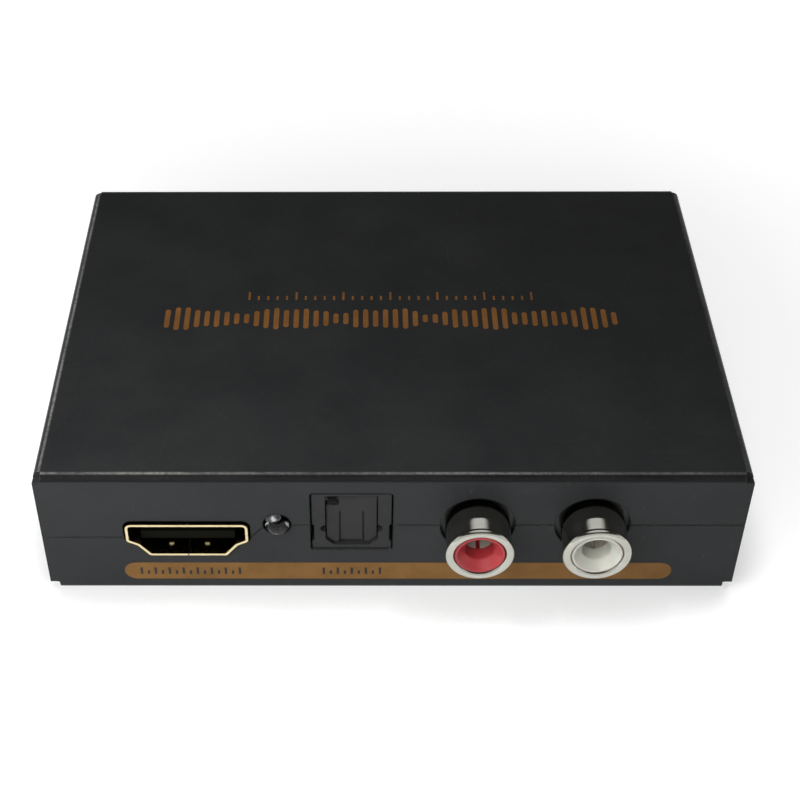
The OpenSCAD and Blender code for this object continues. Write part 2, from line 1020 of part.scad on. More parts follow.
module shutter_plate() {
    y0 = hinge_y - shutter_t / 2;
    y1 = hinge_y + shutter_t / 2;
    difference() {
        intersection() {
            drawn_y(y0, y1)
                polygon(grown(mouth_points, -shutter_gap));
            slab(-mouth_w, mouth_w, y0, y1, mouth_z, hinge_z);
        }
        for (x = row(2, shutter_groove_pitch))
            slab(
                x - shutter_groove_w / 2, x + shutter_groove_w / 2,
                y0 - overrun, y0 + shutter_groove_t,
                mouth_z, mouth_z + shutter_groove_z
            );
        slab(
            -shutter_groove_pitch / 2, shutter_groove_pitch / 2,
            y0 - overrun, y1 + overrun,
            mouth_z, mouth_z + shutter_gap + shutter_notch_h
        );
    }
}

module optical_shutter() {
    w = mouth_w / 2 - shutter_gap;
    color([0.14, 0.14, 0.14])
        at_front(optical_x)
            difference() {
                union() {
                    shutter_plate();
                    rod_x(shutter_t / 2, -w, w, hinge_y, hinge_z);
                    rod_x(hinge_pin_r, -w - hinge_pin_l, w + hinge_pin_l, hinge_y, hinge_z);
                }
                difference() {
                    slab(
                        -w - overrun, -w + spring_room,
                        hinge_y - shutter_t, hinge_y + shutter_t,
                        hinge_z - shutter_t, hinge_z + shutter_t
                    );
                    rod_x(hinge_pin_r, -w - 2 * overrun, w, hinge_y, hinge_z);
                }
            }
}

// Torsion spring: a helix round the hinge pin, with a leg behind the shutter and a leg to the ceiling
spring_x0 = -mouth_w / 2 + shutter_gap + 2 * spring_wire_r;
spring_turns = spring_whole_turns - spring_lift_angle / 360;
spring_pitch = (spring_room - 4 * spring_wire_r) / spring_turns;
spring_steps = ceil(spring_turns * spring_ring_steps);
spring_angles = [for (i = [0:spring_steps]) 360 * spring_turns * i / spring_steps];
spring_ceiling = mouth_z + mouth_h - hinge_z - spring_wire_r - seat_gap;
spring_rise = (spring_ceiling + spring_coil_r * sin(spring_lift_angle)) / cos(spring_lift_angle);

function coil_point(a) =
    [spring_x0 + spring_pitch * a / 360, spring_coil_r * cos(a), spring_coil_r * sin(a)];

// Path: up behind the shutter, round the turns, and off the coil to the ceiling
spring_path = concat(
    [[spring_x0, spring_coil_r, -spring_leg]],
    [for (a = spring_angles) coil_point(a)],
    [coil_point(360 * spring_turns) + spring_rise * [0, sin(spring_lift_angle), cos(spring_lift_angle)]]
);

function path_way(path, i) =
    unit(path[min(i + 1, len(path) - 1)] - path[max(i - 1, 0)]);

function tube_points(path, r, sides) = [
    for (i = [0:len(path) - 1])
        let (
            way = path_way(path, i),
            across = unit(cross(way, cross([1, 0, 0], way))),
            up = cross(way, across)
        )
        for (s = [0:sides - 1])
            path[i] + r * (cos(360 * s / sides) * across + sin(360 * s / sides) * up)
];

function tube_faces(rings, sides) = concat(
    [[for (s = [0:sides - 1]) s]],
    [
        for (i = [0:rings - 2], s = [0:sides - 1])
            let (a = i * sides + s, b = i * sides + (s + 1) % sides)
            each [[a, a + sides, b], [b, a + sides, b + sides]]
    ],
    [[for (s = [sides - 1:-1:0]) (rings - 1) * sides + s]]
);

module shutter_spring() {
    color([0.7, 0.7, 0.72])
        at_front(optical_x)
            translate([0, hinge_y, hinge_z])
                polyhedron(
                    points = tube_points(spring_path, spring_wire_r, spring_sides),
                    faces = tube_faces(len(spring_path), spring_sides)
                );
}

emitter_y0 = mouth_depth + guide_wall + seat_gap;

module optical_emitter() {
    color([0.35, 0.1, 0.1])
        at_front(optical_x) {
            slab(
                -emitter_w / 2, emitter_w / 2,
                emitter_y0, emitter_y0 + emitter_t,
                emitter_z, emitter_z + emitter_h
            );
            rod_y(
                emitter_lens_r, emitter_y0 - emitter_lens_l, emitter_y0 + emitter_t / 2,
                0, optical_axis_z
            );
        }
}

module emitter_lead_drops(gap) {
    for (x = row(3, emitter_lead_pitch))
        drop(x, emitter_y0 + emitter_t / 2, small_lead_t, small_lead_t, emitter_z, gap);
}

module emitter_leads() {
    color([0.75, 0.75, 0.77])
        at_front(optical_x)
            emitter_lead_drops(0);
}

module optical_back_cover() {
    color([0.12, 0.12, 0.12])
        at_front(optical_x) {
            slab(
                -pocket_w / 2 + seat_gap, pocket_w / 2 - seat_gap,
                optical_depth - back_cover_t, optical_depth,
                0, pocket_h - seat_gap
            );
            slab(
                -emitter_w / 4, emitter_w / 4,
                emitter_y0 + emitter_t + seat_gap, optical_depth - back_cover_t,
                emitter_z, emitter_z + emitter_h
            );
        }
}

// Phono jacks

jack_body_y = sheet_t + panel_back_gap;
insert_r = sleeve_r - sleeve_wall - seat_gap;

module jack_body() {
    color([0.06, 0.06, 0.06])
        at_front(jack_mid_x)
            difference() {
                slab(
                    -jack_pitch / 2 - jack_body_side, jack_pitch / 2 + jack_body_side,
                    jack_body_y, jack_body_y + jack_body_d,
                    0, jack_body_h
                );
                for (x = row(2, jack_pitch)) {
                    rod_y(
                        sleeve_r + seat_gap, jack_body_y - overrun, jack_body_y + sleeve_l + seat_gap,
                        x, jack_z
                    );
                    rod_y(
                        contact_tube_r + seat_gap, jack_body_y, contact_end + seat_gap,
                        x, jack_z
                    );
                    translate([x, 0, 0]) {
                        jack_tail(seat_gap);
                        jack_lug(seat_gap);
                    }
                }
            }
}

// Profile of the sleeve: a tube that ends in a rolled bead
module sleeve_profile() {
    translate([sleeve_r - sleeve_wall, -jack_proud + bead_l / 2])
        square([sleeve_wall, jack_proud - bead_l / 2 + jack_body_y + sleeve_l]);
    polygon(rounded(
        [
            [bead_r, -jack_proud],
            [bead_r, -jack_proud + bead_l],
            [bead_mouth_r, -jack_proud + bead_l],
            [bead_mouth_r, -jack_proud]
        ],
        [bead_fillet, bead_fillet, 0, bead_fillet / 2]
    ));
}

// Solder lug on the sleeve, down through the board
module jack_lug(gap) {
    drop(0, jack_body_y + lug_set_back, lug_w, lug_t, jack_z - sleeve_r + sleeve_wall / 2, gap);
}

module jack_sleeve() {
    turned_y(0, jack_z)
        sleeve_profile();
    jack_lug(0);
}

// Profile of the insert: a funnel that leads to the pin hole and opens behind it for the contact
module insert_profile() {
    y0 = -jack_proud;
    y1 = jack_body_y + sleeve_l;
    polygon([
        [insert_cone_r, y0],
        [insert_lip_r - insert_lip_gap, y0],
        [insert_lip_r - insert_lip_gap, y0 + bead_l + seat_gap],
        [insert_r, y0 + bead_l + seat_gap],
        [insert_r, y1],
        [contact_bore_r, y1],
        [contact_bore_r, y0 + insert_cone_l + pin_hole_l],
        [pin_hole_r, y0 + insert_cone_l + pin_hole_l],
        [pin_hole_r, y0 + insert_cone_l]
    ]);
}

module jack_insert() {
    turned_y(0, jack_z)
        insert_profile();
}

// Tail of a centre contact, down through the body and the board
contact_end = jack_body_y + sleeve_l + seat_gap + lug_t;

module jack_tail(gap) {
    drop(0, contact_end - lug_t / 2, contact_tail_w, lug_t, jack_z, gap);
}

// Split tube that grips the plug's pin, with a tail
module jack_contact() {
    y0 = -jack_proud + insert_cone_l + pin_hole_l + seat_gap;
    difference() {
        rod_y(contact_tube_r, y0, contact_end, 0, jack_z);
        rod_y(contact_tube_r - contact_tube_wall, y0 - overrun, contact_end - lug_t, 0, jack_z);
        slab(
            -contact_slot_w / 2, contact_slot_w / 2,
            y0 - overrun, contact_end - 3 * lug_t,
            jack_z - 2 * contact_tube_r, jack_z + 2 * contact_tube_r
        );
    }
    jack_tail(0);
}

module red_jack_sleeve() {
    color([0.78, 0.78, 0.75])
        at_front(jack_mid_x - jack_pitch / 2)
            jack_sleeve();
}

module white_jack_sleeve() {
    color([0.78, 0.78, 0.75])
        at_front(jack_mid_x + jack_pitch / 2)
            jack_sleeve();
}

module red_jack_insert() {
    color([0.66, 0.12, 0.15])
        at_front(jack_mid_x - jack_pitch / 2)
            jack_insert();
}

module white_jack_insert() {
    color([0.85, 0.85, 0.8])
        at_front(jack_mid_x + jack_pitch / 2)
            jack_insert();
}

module jack_contacts() {
    color([0.8, 0.8, 0.78])
        at_front(jack_mid_x)
            for (x = row(2, jack_pitch))
                translate([x, 0, 0])
                    jack_contact();
}

// Power socket

power_y0 = sheet_t + panel_back_gap;
power_back = power_y0 + power_d;
power_bore_end = power_face_set_back + power_bore_l;
power_pin_tip = power_face_set_back + power_pin_set_back;
power_spring_y = power_bore_end - power_spring_l;
power_spring_z = power_z - power_bore_r - power_spring_t;

module power_socket_body() {
    color([0.07, 0.07, 0.07])
        at_rear(power_x)
            difference() {
                union() {
                    slab(-power_w / 2, power_w / 2, power_y0, power_back, 0, power_h);
                    rod_y(power_collar_r, power_face_set_back, power_y0 + overrun, 0, power_z);
                }
                rod_y(power_bore_r, power_face_set_back - overrun, power_bore_end, 0, power_z);
                rod_y(power_root_r + seat_gap, 0, power_back + overrun, 0, power_z);
                slab(
                    -power_spring_w / 2 - seat_gap, power_spring_w / 2 + seat_gap,
                    power_spring_y - seat_gap, power_bore_end,
                    -overrun, power_z
                );
            }
}

// Pin with a domed tip, thicker where the body holds it
module power_centre_pin() {
    color([0.8, 0.8, 0.78])
        at_rear(power_x)
            translate([0, 0, power_z]) {
                rod_y(power_pin_r, power_pin_tip + power_pin_dome, power_bore_end);
                rod_y(power_root_r, power_bore_end, power_back + power_terminal_t);
                translate([0, power_pin_tip, 0])
                    rotate([-90, 0, 0])
                        cylinder(r1 = power_pin_r - power_pin_dome, r2 = power_pin_r, h = power_pin_dome);
            }
}

// The terminals' stretches through the board: a blade behind the body and a foot under the bore
module power_terminal_drops(gap) {
    drop(
        0, power_back + power_terminal_t / 2, power_terminal_w,
        power_terminal_t, power_z + power_root_r + power_terminal_t, gap
    );
    drop(
        0, power_spring_y + power_terminal_t / 2, power_spring_w,
        power_terminal_t, power_spring_z, gap
    );
}

module power_terminals() {
    color([0.75, 0.75, 0.77])
        at_rear(power_x) {
            difference() {
                power_terminal_drops(0);
                rod_y(power_root_r + seat_gap, power_back - overrun, power_back + overrun, 0, power_z);
            }
            slab(
                -power_spring_w / 2, power_spring_w / 2,
                power_spring_y, power_bore_end - seat_gap,
                power_spring_z, power_spring_z + power_spring_t
            );
        }
}

// Sound mode switch

switch_y0 = sheet_t + panel_back_gap;
slot_w = stem_w + 2 * switch_step;
carrier_y0 = switch_y0 + switch_wall + carrier_gap;
base_y0 = carrier_y0 + carrier_t + carrier_gap;

module switch_opening() {
    drawn_y(-overrun, sheet_t + overrun)
        translate([0, switch_z])
            polygon(rounded(
                rectangle(
                    slot_w + 2 * panel_slot_gap,
                    -stem_h / 2 - panel_slot_gap, stem_h / 2 + panel_slot_gap
                ),
                same(slot_fillet, 4)
            ));
}

module switch_frame() {
    color([0.72, 0.72, 0.73])
        at_rear(switch_x)
            difference() {
                slab(
                    -switch_w / 2, switch_w / 2,
                    switch_y0, switch_y0 + switch_d,
                    switch_lift, switch_h + switch_lift
                );
                slab(
                    -switch_w / 2 + switch_wall, switch_w / 2 - switch_wall,
                    switch_y0 + switch_wall, switch_y0 + switch_d + overrun,
                    switch_lift - overrun, switch_h + switch_lift - switch_wall
                );
                slab(
                    -slot_w / 2 - stem_gap, slot_w / 2 + stem_gap,
                    switch_y0 - overrun, switch_y0 + switch_wall + overrun,
                    switch_z - stem_h / 2 - stem_gap, switch_z + stem_h / 2 + stem_gap
                );
            }
}

module switch_base() {
    w = switch_w / 2 - switch_wall - seat_gap;
    color([0.35, 0.2, 0.1])
        at_rear(switch_x)
            difference() {
                slab(
                    -w, w,
                    base_y0, switch_y0 + switch_d - seat_gap,
                    switch_lift, switch_h + switch_lift - switch_wall - seat_gap
                );
                switch_pin_drops(seat_gap);
            }
}

module mode_knob() {
    color([0.05, 0.05, 0.05])
        at_rear(switch_x)
            difference() {
                union() {
                    slab(
                        -carrier_w / 2, carrier_w / 2,
                        carrier_y0, carrier_y0 + carrier_t,
                        switch_z - carrier_h / 2, switch_z + carrier_h / 2
                    );
                    slab(
                        -stem_w / 2, stem_w / 2,
                        -stem_proud, carrier_y0 + carrier_t,
                        switch_z - stem_h / 2, switch_z + stem_h / 2
                    );
                }
                for (x = row(knob_ribs, stem_w / knob_ribs))
                    slab(
                        x - knob_rib_t / 2, x + knob_rib_t / 2,
                        -stem_proud - overrun, -stem_proud + knob_rib_t,
                        switch_z - stem_h, switch_z + stem_h
                    );
            }
}

module switch_pin_drops(gap) {
    for (x = row(switch_pins_n, switch_pin_pitch))
        drop(
            x, switch_y0 + switch_d - 2 * switch_pin_t, switch_pin_t,
            switch_pin_t, switch_lift + switch_z, gap
        );
}

module switch_pins() {
    color([0.75, 0.75, 0.77])
        at_rear(switch_x)
            switch_pin_drops(0);
}

// Parts on the board

// Moulded package with a bevelled top edge and a dimple at its first corner
module package(l, w, h) {
    difference() {
        intersection() {
            drawn_x(-l / 2, l / 2)
                package_section(w, h);
            drawn_y(-w / 2, w / 2)
                package_section(l, h);
        }
        rod_z(
            mark_r, chip_lift + h - mark_depth, chip_lift + h + overrun,
            -l / 2 + 3 * mark_r, -w / 2 + 3 * mark_r
        );
    }
}

module package_section(w, h) {
    polygon([
        [w / 2, chip_lift],
        [w / 2, chip_lift + h - chip_chamfer],
        [w / 2 - chip_chamfer / 2, chip_lift + h],
        [-w / 2 + chip_chamfer / 2, chip_lift + h],
        [-w / 2, chip_lift + h - chip_chamfer],
        [-w / 2, chip_lift]
    ]);
}

// Gull-wing lead that leaves a package at x = 0 and height rise, and stands on the board
module gull_wing(rise, w) {
    translate([0, w / 2, 0])
        rotate([90, 0, 0])
            linear_extrude(height = w)
                polygon([
                    [0, rise],
                    [lead_reach / 2 - lead_foil, rise],
                    [lead_reach / 2 - lead_foil, 0],
                    [lead_reach, 0],
                    [lead_reach, lead_foil],
                    [lead_reach / 2, lead_foil],
                    [lead_reach / 2, rise + lead_foil],
                    [0, rise + lead_foil]
                ]);
}

// Rows of leads along both long sides of a package that runs along X
module lead_rows(count, pitch, w, rise, thick) {
    for (sy = [0, 180])
        rotate([0, 0, sy + 90])
            for (y = row(count, pitch))
                translate([w / 2, y, 0])
                    gull_wing(rise, thick);
}

module video_chip() {
    color([0.05, 0.05, 0.05])
        on_board(video_chip_shares)
            package(video_chip_side, video_chip_side, video_chip_h);
}

module video_chip_leads() {
    color([0.75, 0.75, 0.77])
        on_board(video_chip_shares)
            for (turn = [0, 90])
                rotate([0, 0, turn])
                    lead_rows(
                        video_chip_leads_n, video_chip_pitch, video_chip_side,
                        video_chip_h / 2, lead_w
                    );
}

module audio_chip() {
    color([0.06, 0.06, 0.06])
        on_board(audio_chip_shares)
            package(audio_chip_l, small_chip_w, small_chip_h);
}

module memory_chip() {
    color([0.06, 0.06, 0.06])
        on_board(memory_chip_shares)
            package(memory_chip_l, small_chip_w, small_chip_h);
}

module small_chip_leads() {
    color([0.75, 0.75, 0.77]) {
        on_board(audio_chip_shares)
            lead_rows(audio_chip_leads_n, small_chip_pitch, small_chip_w, small_chip_h / 2, lead_w);
        on_board(memory_chip_shares)
            lead_rows(memory_chip_leads_n, small_chip_pitch, small_chip_w, small_chip_h / 2, lead_w);
    }
}

module voltage_regulators() {
    color([0.07, 0.07, 0.07])
        for (shares = regulator_shares)
            on_board(shares)
                package(regulator_l, regulator_w, regulator_h);
}

module regulator_leads() {
    color([0.75, 0.75, 0.77])
        for (shares = regulator_shares)
            on_board(shares) {
                rotate([0, 0, 90])
                    translate([regulator_w / 2, 0, 0])
                        gull_wing(regulator_h / 2, regulator_tab_w);
                rotate([0, 0, -90])
                    for (y = row(3, regulator_pitch))
                        translate([regulator_w / 2, y, 0])
                            gull_wing(regulator_h / 2, 2 * lead_w);
            }
}

// Oval of length l and width w, drawn up
module oval(l, w, z0, z1) {
    for (sx = [-1, 1])
        rod_z(w / 2, z0, z1, sx * (l - w) / 2);
    slab(-(l - w) / 2, (l - w) / 2, -w / 2, w / 2, z0, z1);
}

module crystal_can() {
    color([0.8, 0.8, 0.82])
        on_board(crystal_shares) {
            oval(crystal_l, crystal_w, 0, crystal_h);
            oval(crystal_l + 2 * crystal_rim, crystal_w + 2 * crystal_rim, 0, crystal_rim);
        }
}

module power_inductor() {
    color([0.2, 0.2, 0.21])
        on_board(inductor_shares)
            difference() {
                rod_z(inductor_side / 2, inductor_base_t, inductor_h);
                difference() {
                    rod_z(
                        inductor_side, inductor_base_t + inductor_groove, inductor_h - inductor_groove
                    );
                    rod_z(inductor_side / 2 - inductor_groove, inductor_base_t, inductor_h);
                }
            }
}

module inductor_base() {
    color([0.1, 0.1, 0.1])
        on_board(inductor_shares)
            slab(
                -inductor_side / 2, inductor_side / 2,
                -inductor_side / 2, inductor_side / 2,
                0, inductor_base_t
            );
}

module capacitor_cans() {
    color([0.8, 0.8, 0.82])
        for (shares = can_shares)
            on_board(shares)
                difference() {
                    rod_z(can_r, can_base_t, can_base_t + can_h);
                    translate([0, 0, can_base_t + 2 * can_crimp])
                        rotate_extrude()
                            translate([can_r, 0])
                                circle(r = can_crimp);
                }
}

module capacitor_bases() {
    color([0.07, 0.07, 0.07])
        for (shares = can_shares)
            on_board(shares)
                linear_extrude(height = can_base_t)
                    polygon([
                        [can_base_side / 2, -can_base_side / 2 + can_r / 3],
                        [can_base_side / 2, can_base_side / 2],
                        [-can_base_side / 2, can_base_side / 2],
                        [-can_base_side / 2, -can_base_side / 2 + can_r / 3],
                        [-can_base_side / 2 + can_r / 3, -can_base_side / 2],
                        [can_base_side / 2 - can_r / 3, -can_base_side / 2]
                    ]);
}

// Rows of small parts that run right from their first places
module part_rows(row_shares, counts, l, w, h) {
    for (k = [0:len(row_shares) - 1], i = [0:counts[k] - 1])
        on_board(row_shares[k])
            translate([i * part_pitch, 0, 0])
                slab(-w / 2, w / 2, -l / 2, l / 2, 0, h);
}

module ceramic_capacitors() {
    color([0.6, 0.48, 0.36])
        part_rows(ceramic_row_shares, ceramic_counts, ceramic_l, ceramic_w, ceramic_h);
}

module chip_resistors() {
    color([0.1, 0.1, 0.11])
        part_rows(resistor_row_shares, resistor_counts, resistor_l, resistor_w, resistor_h);
}

top_cover();
bottom_tray();
cover_posts();
case_screws();
board_standoffs();
board_screws();
circuit_board();
hdmi_out_shell();
hdmi_out_insulator();
hdmi_out_contacts();
hdmi_in_shell();
hdmi_in_insulator();
hdmi_in_contacts();
status_lamp();
lamp_leads();
optical_housing();
optical_shutter();
shutter_spring();
optical_emitter();
emitter_leads();
optical_back_cover();
jack_body();
red_jack_sleeve();
white_jack_sleeve();
red_jack_insert();
white_jack_insert();
jack_contacts();
power_socket_body();
power_centre_pin();
power_terminals();
switch_frame();
switch_base();
mode_knob();
switch_pins();
video_chip();
video_chip_leads();
audio_chip();
memory_chip();
small_chip_leads();
voltage_regulators();
regulator_leads();
crystal_can();
power_inductor();
inductor_base();
capacitor_cans();
capacitor_bases();
ceramic_capacitors();
chip_resistors();
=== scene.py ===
"""Dresses the audio extractor box: finishes, sockets, prints, light and camera.

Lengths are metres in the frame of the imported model: X runs right along the
front panel, Y runs back into the case, Z runs up, and the origin is the middle
of the case's underside.
"""

from __future__ import annotations

import logging
import math
import random
from dataclasses import dataclass, field
from enum import Enum

import bmesh
import bpy
from mathutils import Matrix, Vector
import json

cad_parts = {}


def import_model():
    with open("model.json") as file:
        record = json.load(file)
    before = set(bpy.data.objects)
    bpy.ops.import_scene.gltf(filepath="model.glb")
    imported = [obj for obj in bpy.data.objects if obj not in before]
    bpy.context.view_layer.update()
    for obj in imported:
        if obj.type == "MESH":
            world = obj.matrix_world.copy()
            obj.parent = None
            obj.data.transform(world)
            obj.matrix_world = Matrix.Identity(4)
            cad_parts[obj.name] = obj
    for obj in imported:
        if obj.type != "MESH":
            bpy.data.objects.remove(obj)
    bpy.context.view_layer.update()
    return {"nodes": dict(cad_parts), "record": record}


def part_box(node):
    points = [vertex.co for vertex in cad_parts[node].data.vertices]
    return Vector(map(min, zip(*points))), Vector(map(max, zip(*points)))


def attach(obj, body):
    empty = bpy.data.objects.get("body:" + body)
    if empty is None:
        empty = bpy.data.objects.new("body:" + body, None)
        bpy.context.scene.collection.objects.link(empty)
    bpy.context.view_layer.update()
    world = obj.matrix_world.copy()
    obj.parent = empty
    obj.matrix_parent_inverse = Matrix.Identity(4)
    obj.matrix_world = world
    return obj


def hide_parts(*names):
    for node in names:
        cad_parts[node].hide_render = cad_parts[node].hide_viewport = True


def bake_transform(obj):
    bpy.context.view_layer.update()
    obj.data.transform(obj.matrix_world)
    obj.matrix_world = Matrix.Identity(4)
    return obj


LOG = logging.getLogger("audio_extractor")

MM = 0.001
CASE = "case"

Colour = tuple[float, float, float]
Point = tuple[float, float]
Place = tuple[float, float, float]
Socket = bpy.types.NodeSocket
Sockets = bpy.types.bpy_prop_collection
Vert = bmesh.types.BMVert


class Axis(Enum):
    """The three directions of the frame."""

    X = "X"
    Y = "Y"
    Z = "Z"


# Node trees


class Graph:
    """Short ways to add nodes to one node tree and to join them."""

    def __init__(self, tree: bpy.types.NodeTree) -> None:
        """Keeps the tree that the nodes go into."""
        self.tree = tree

    def node(self, kind: str, **settings: object) -> bpy.types.Node:
        """Adds a node.

        Args:
            kind: Blender's name of the node type.
            settings: attributes to set on the node.

        Returns:
            The new node.
        """
        made = self.tree.nodes.new(kind)
        for key, value in settings.items():
            setattr(made, key, value)
        return made

    def feed(self, socket: Socket, value: object) -> None:
        """Joins a socket to another one, or sets its value."""
        if isinstance(value, Socket):
            self.tree.links.new(value, socket)
        elif socket.type == "RGBA" and isinstance(value, tuple) and len(value) == 3:
            socket.default_value = (*value, 1.0)
        else:
            socket.default_value = value

    def set(self, node: bpy.types.Node, **values: object) -> None:
        """Feeds a node's inputs, whose names use underscores here."""
        for key, value in values.items():
            self.feed(node.inputs[key.replace("_", " ")], value)

    def math(self, operation: str, a: object, b: object = 0.0, clamp: bool = False) -> Socket:
        """Adds a math node and returns its value."""
        made = self.node("ShaderNodeMath", operation=operation, use_clamp=clamp)
        self.feed(made.inputs[0], a)
        self.feed(made.inputs[1], b)
        return made.outputs[0]

    def times(self, a: object, b: object, clamp: bool = False) -> Socket:
        """Multiplies two values."""
        return self.math("MULTIPLY", a, b, clamp)

    def plus(self, a: object, b: object, clamp: bool = False) -> Socket:
        """Adds two values."""
        return self.math("ADD", a, b, clamp)

    def spread(
        self, value: object, low: float, high: float, to_low: float = 0.0, to_high: float = 1.0
    ) -> Socket:
        """Maps a value from one range to another, held inside the second.

        Args:
            value: socket or number to map.
            low: value that becomes to_low.
            high: value that becomes to_high.
            to_low: lower end of the result.
            to_high: upper end of the result.

        Returns:
            The mapped value.
        """
        made = self.node("ShaderNodeMapRange", clamp=True)
        for index, item in enumerate((value, low, high, to_low, to_high)):
            self.feed(made.inputs[index], item)
        return made.outputs[0]

    def mix(self, share: object, a: object, b: object) -> Socket:
        """Lays colour b over colour a by the share and returns the colour."""
        made = self.node("ShaderNodeMix", data_type="RGBA")
        self.feed(made.inputs[0], share)
        self.feed(made.inputs[6], a)
        self.feed(made.inputs[7], b)
        return made.outputs[2]

    def place(self) -> Socket:
        """Returns the object's own coordinates, in metres."""
        return self.node("ShaderNodeTexCoord").outputs["Object"]

    def stretched(self, scale: Place, turn: float = 0.0) -> Socket:
        """Returns the object's coordinates, scaled on each axis and turned about Z in radians."""
        made = self.node("ShaderNodeMapping")
        self.set(made, Vector=self.place(), Rotation=(0.0, 0.0, turn), Scale=scale)
        return made.outputs[0]

    def noise(
        self, scale: object, detail: float = 3.0, rough: float = 0.55, vector: object = None
    ) -> Socket:
        """Adds a noise texture.

        Args:
            scale: features for each metre.
            detail: number of finer layers.
            rough: weight of the finer layers.
            vector: coordinates, or None for the object's own.

        Returns:
            The noise from 0 to 1.
        """
        made = self.node("ShaderNodeTexNoise")
        place = self.place() if vector is None else vector
        self.set(made, Vector=place, Scale=scale, Detail=detail, Roughness=rough)
        return made.outputs["Fac"]

    def seen(self) -> Socket:
        """Returns 1 for what the camera sees, itself or by way of gloss or glass."""
        rays = self.node("ShaderNodeLightPath").outputs
        mirrored = self.math("MAXIMUM", rays["Is Glossy Ray"], rays["Is Transmission Ray"])
        return self.math("MAXIMUM", rays["Is Camera Ray"], mirrored)

    def normal(self) -> Socket:
        """Returns the surface's normal."""
        return self.node("ShaderNodeNewGeometry").outputs["Normal"]

    def rounded(self, radius: object) -> Socket:
        """Returns a normal that rounds the edges over a radius in metres."""
        made = self.node("ShaderNodeBevel", samples=4)
        self.feed(made.inputs["Radius"], radius)
        return made.outputs[0]

    def along(self, vector: object, axis: Axis) -> Socket:
        """Returns a vector's part along an axis."""
        made = self.node("ShaderNodeSeparateXYZ")
        self.feed(made.inputs[0], vector)
        return made.outputs[axis.value]

    def group(self, effect: Effect, **values: object) -> bpy.types.Node:
        """Adds a shared effect and sets its inputs."""
        made = self.node("ShaderNodeGroup", node_tree=effect.shared())
        self.set(made, **values)
        return made


# Shared groups


def blank(owner: bpy.types.Material | bpy.types.World) -> Graph:
    """Returns a graph on a material's or world's own tree, emptied."""
    owner.use_nodes = True
    owner.node_tree.nodes.clear()
    return Graph(owner.node_tree)


def placed(name: str, data: bpy.types.ID) -> bpy.types.Object:
    """Adds an object to the scene."""
    made = bpy.data.objects.new(name, data)
    bpy.context.scene.collection.objects.link(made)
    return made


class Effect:
    """A shader group that several finishes share, made on first use."""

    name: str = ""
    inputs: dict[str, float] = {}
    outputs: tuple[str, ...] = ("Mask",)

    def __init__(self) -> None:
        """Starts with no tree."""
        self.tree: bpy.types.NodeTree | None = None

    def join(self, g: Graph, ins: Sockets) -> tuple[Socket, ...]:
        """Joins the effect's nodes and returns what each output gives out."""
        raise NotImplementedError

    def shared(self) -> bpy.types.NodeTree:
        """Returns the group's tree."""
        if self.tree is None:
            self.tree = bpy.data.node_groups.new(self.name, "ShaderNodeTree")
            sockets = self.tree.interface
            for key, value in self.inputs.items():
                socket = sockets.new_socket(name=key, in_out="INPUT", socket_type="NodeSocketFloat")
                socket.default_value = value
            for key in self.outputs:
                kind = "NodeSocketVector" if key == "Normal" else "NodeSocketFloat"
                sockets.new_socket(name=key, in_out="OUTPUT", socket_type=kind)
            g = Graph(self.tree)
            results = self.join(g, g.node("NodeGroupInput").outputs)
            ends = g.node("NodeGroupOutput").inputs
            for key, value in zip(self.outputs, results):
                g.feed(ends[key], value)
        return self.tree


class FineGrain(Effect):
    """Fine grain as Height, with a slow mottle."""

    name = "Fine grain"
    inputs = {"Grain Scale": 4000.0, "Mottle Scale": 120.0}
    outputs = ("Height", "Mottle")
    coarse_share: float = 0.31
    fine_weight: float = 0.62

    def join(self, g: Graph, ins: Sockets) -> tuple[Socket, ...]:
        """Lays a fine noise over a coarser one."""
        fine = g.noise(ins["Grain Scale"], 2.0, 0.6)
        coarse = g.noise(g.times(ins["Grain Scale"], self.coarse_share), 2.0, 0.5)
        height = g.plus(g.times(fine, self.fine_weight), g.times(coarse, 1.0 - self.fine_weight))
        return height, g.noise(ins["Mottle Scale"], 5.0, 0.6)


class EdgeWearAndShade(Effect):
    """Places near an edge, broken up by noise; finishes use it for edges worn pale and for painted shade
    along edges.
    """

    name = "Edge wear and painted shade"
    inputs = {"Width": 0.0002, "Breakup Scale": 900.0, "Amount": 0.5}

    def join(self, g: Graph, ins: Sockets) -> tuple[Socket, ...]:
        """Compares the rounded normal with the true one."""
        turn = g.node("ShaderNodeVectorMath", operation="DOT_PRODUCT")
        g.feed(turn.inputs[0], g.rounded(ins["Width"]))
        g.feed(turn.inputs[1], g.normal())
        edge = g.spread(turn.outputs["Value"], 0.995, 0.86)
        broken = g.spread(g.noise(ins["Breakup Scale"], 6.0, 0.7), 0.38, 0.62)
        return (g.times(g.times(edge, broken), ins["Amount"], clamp=True),)


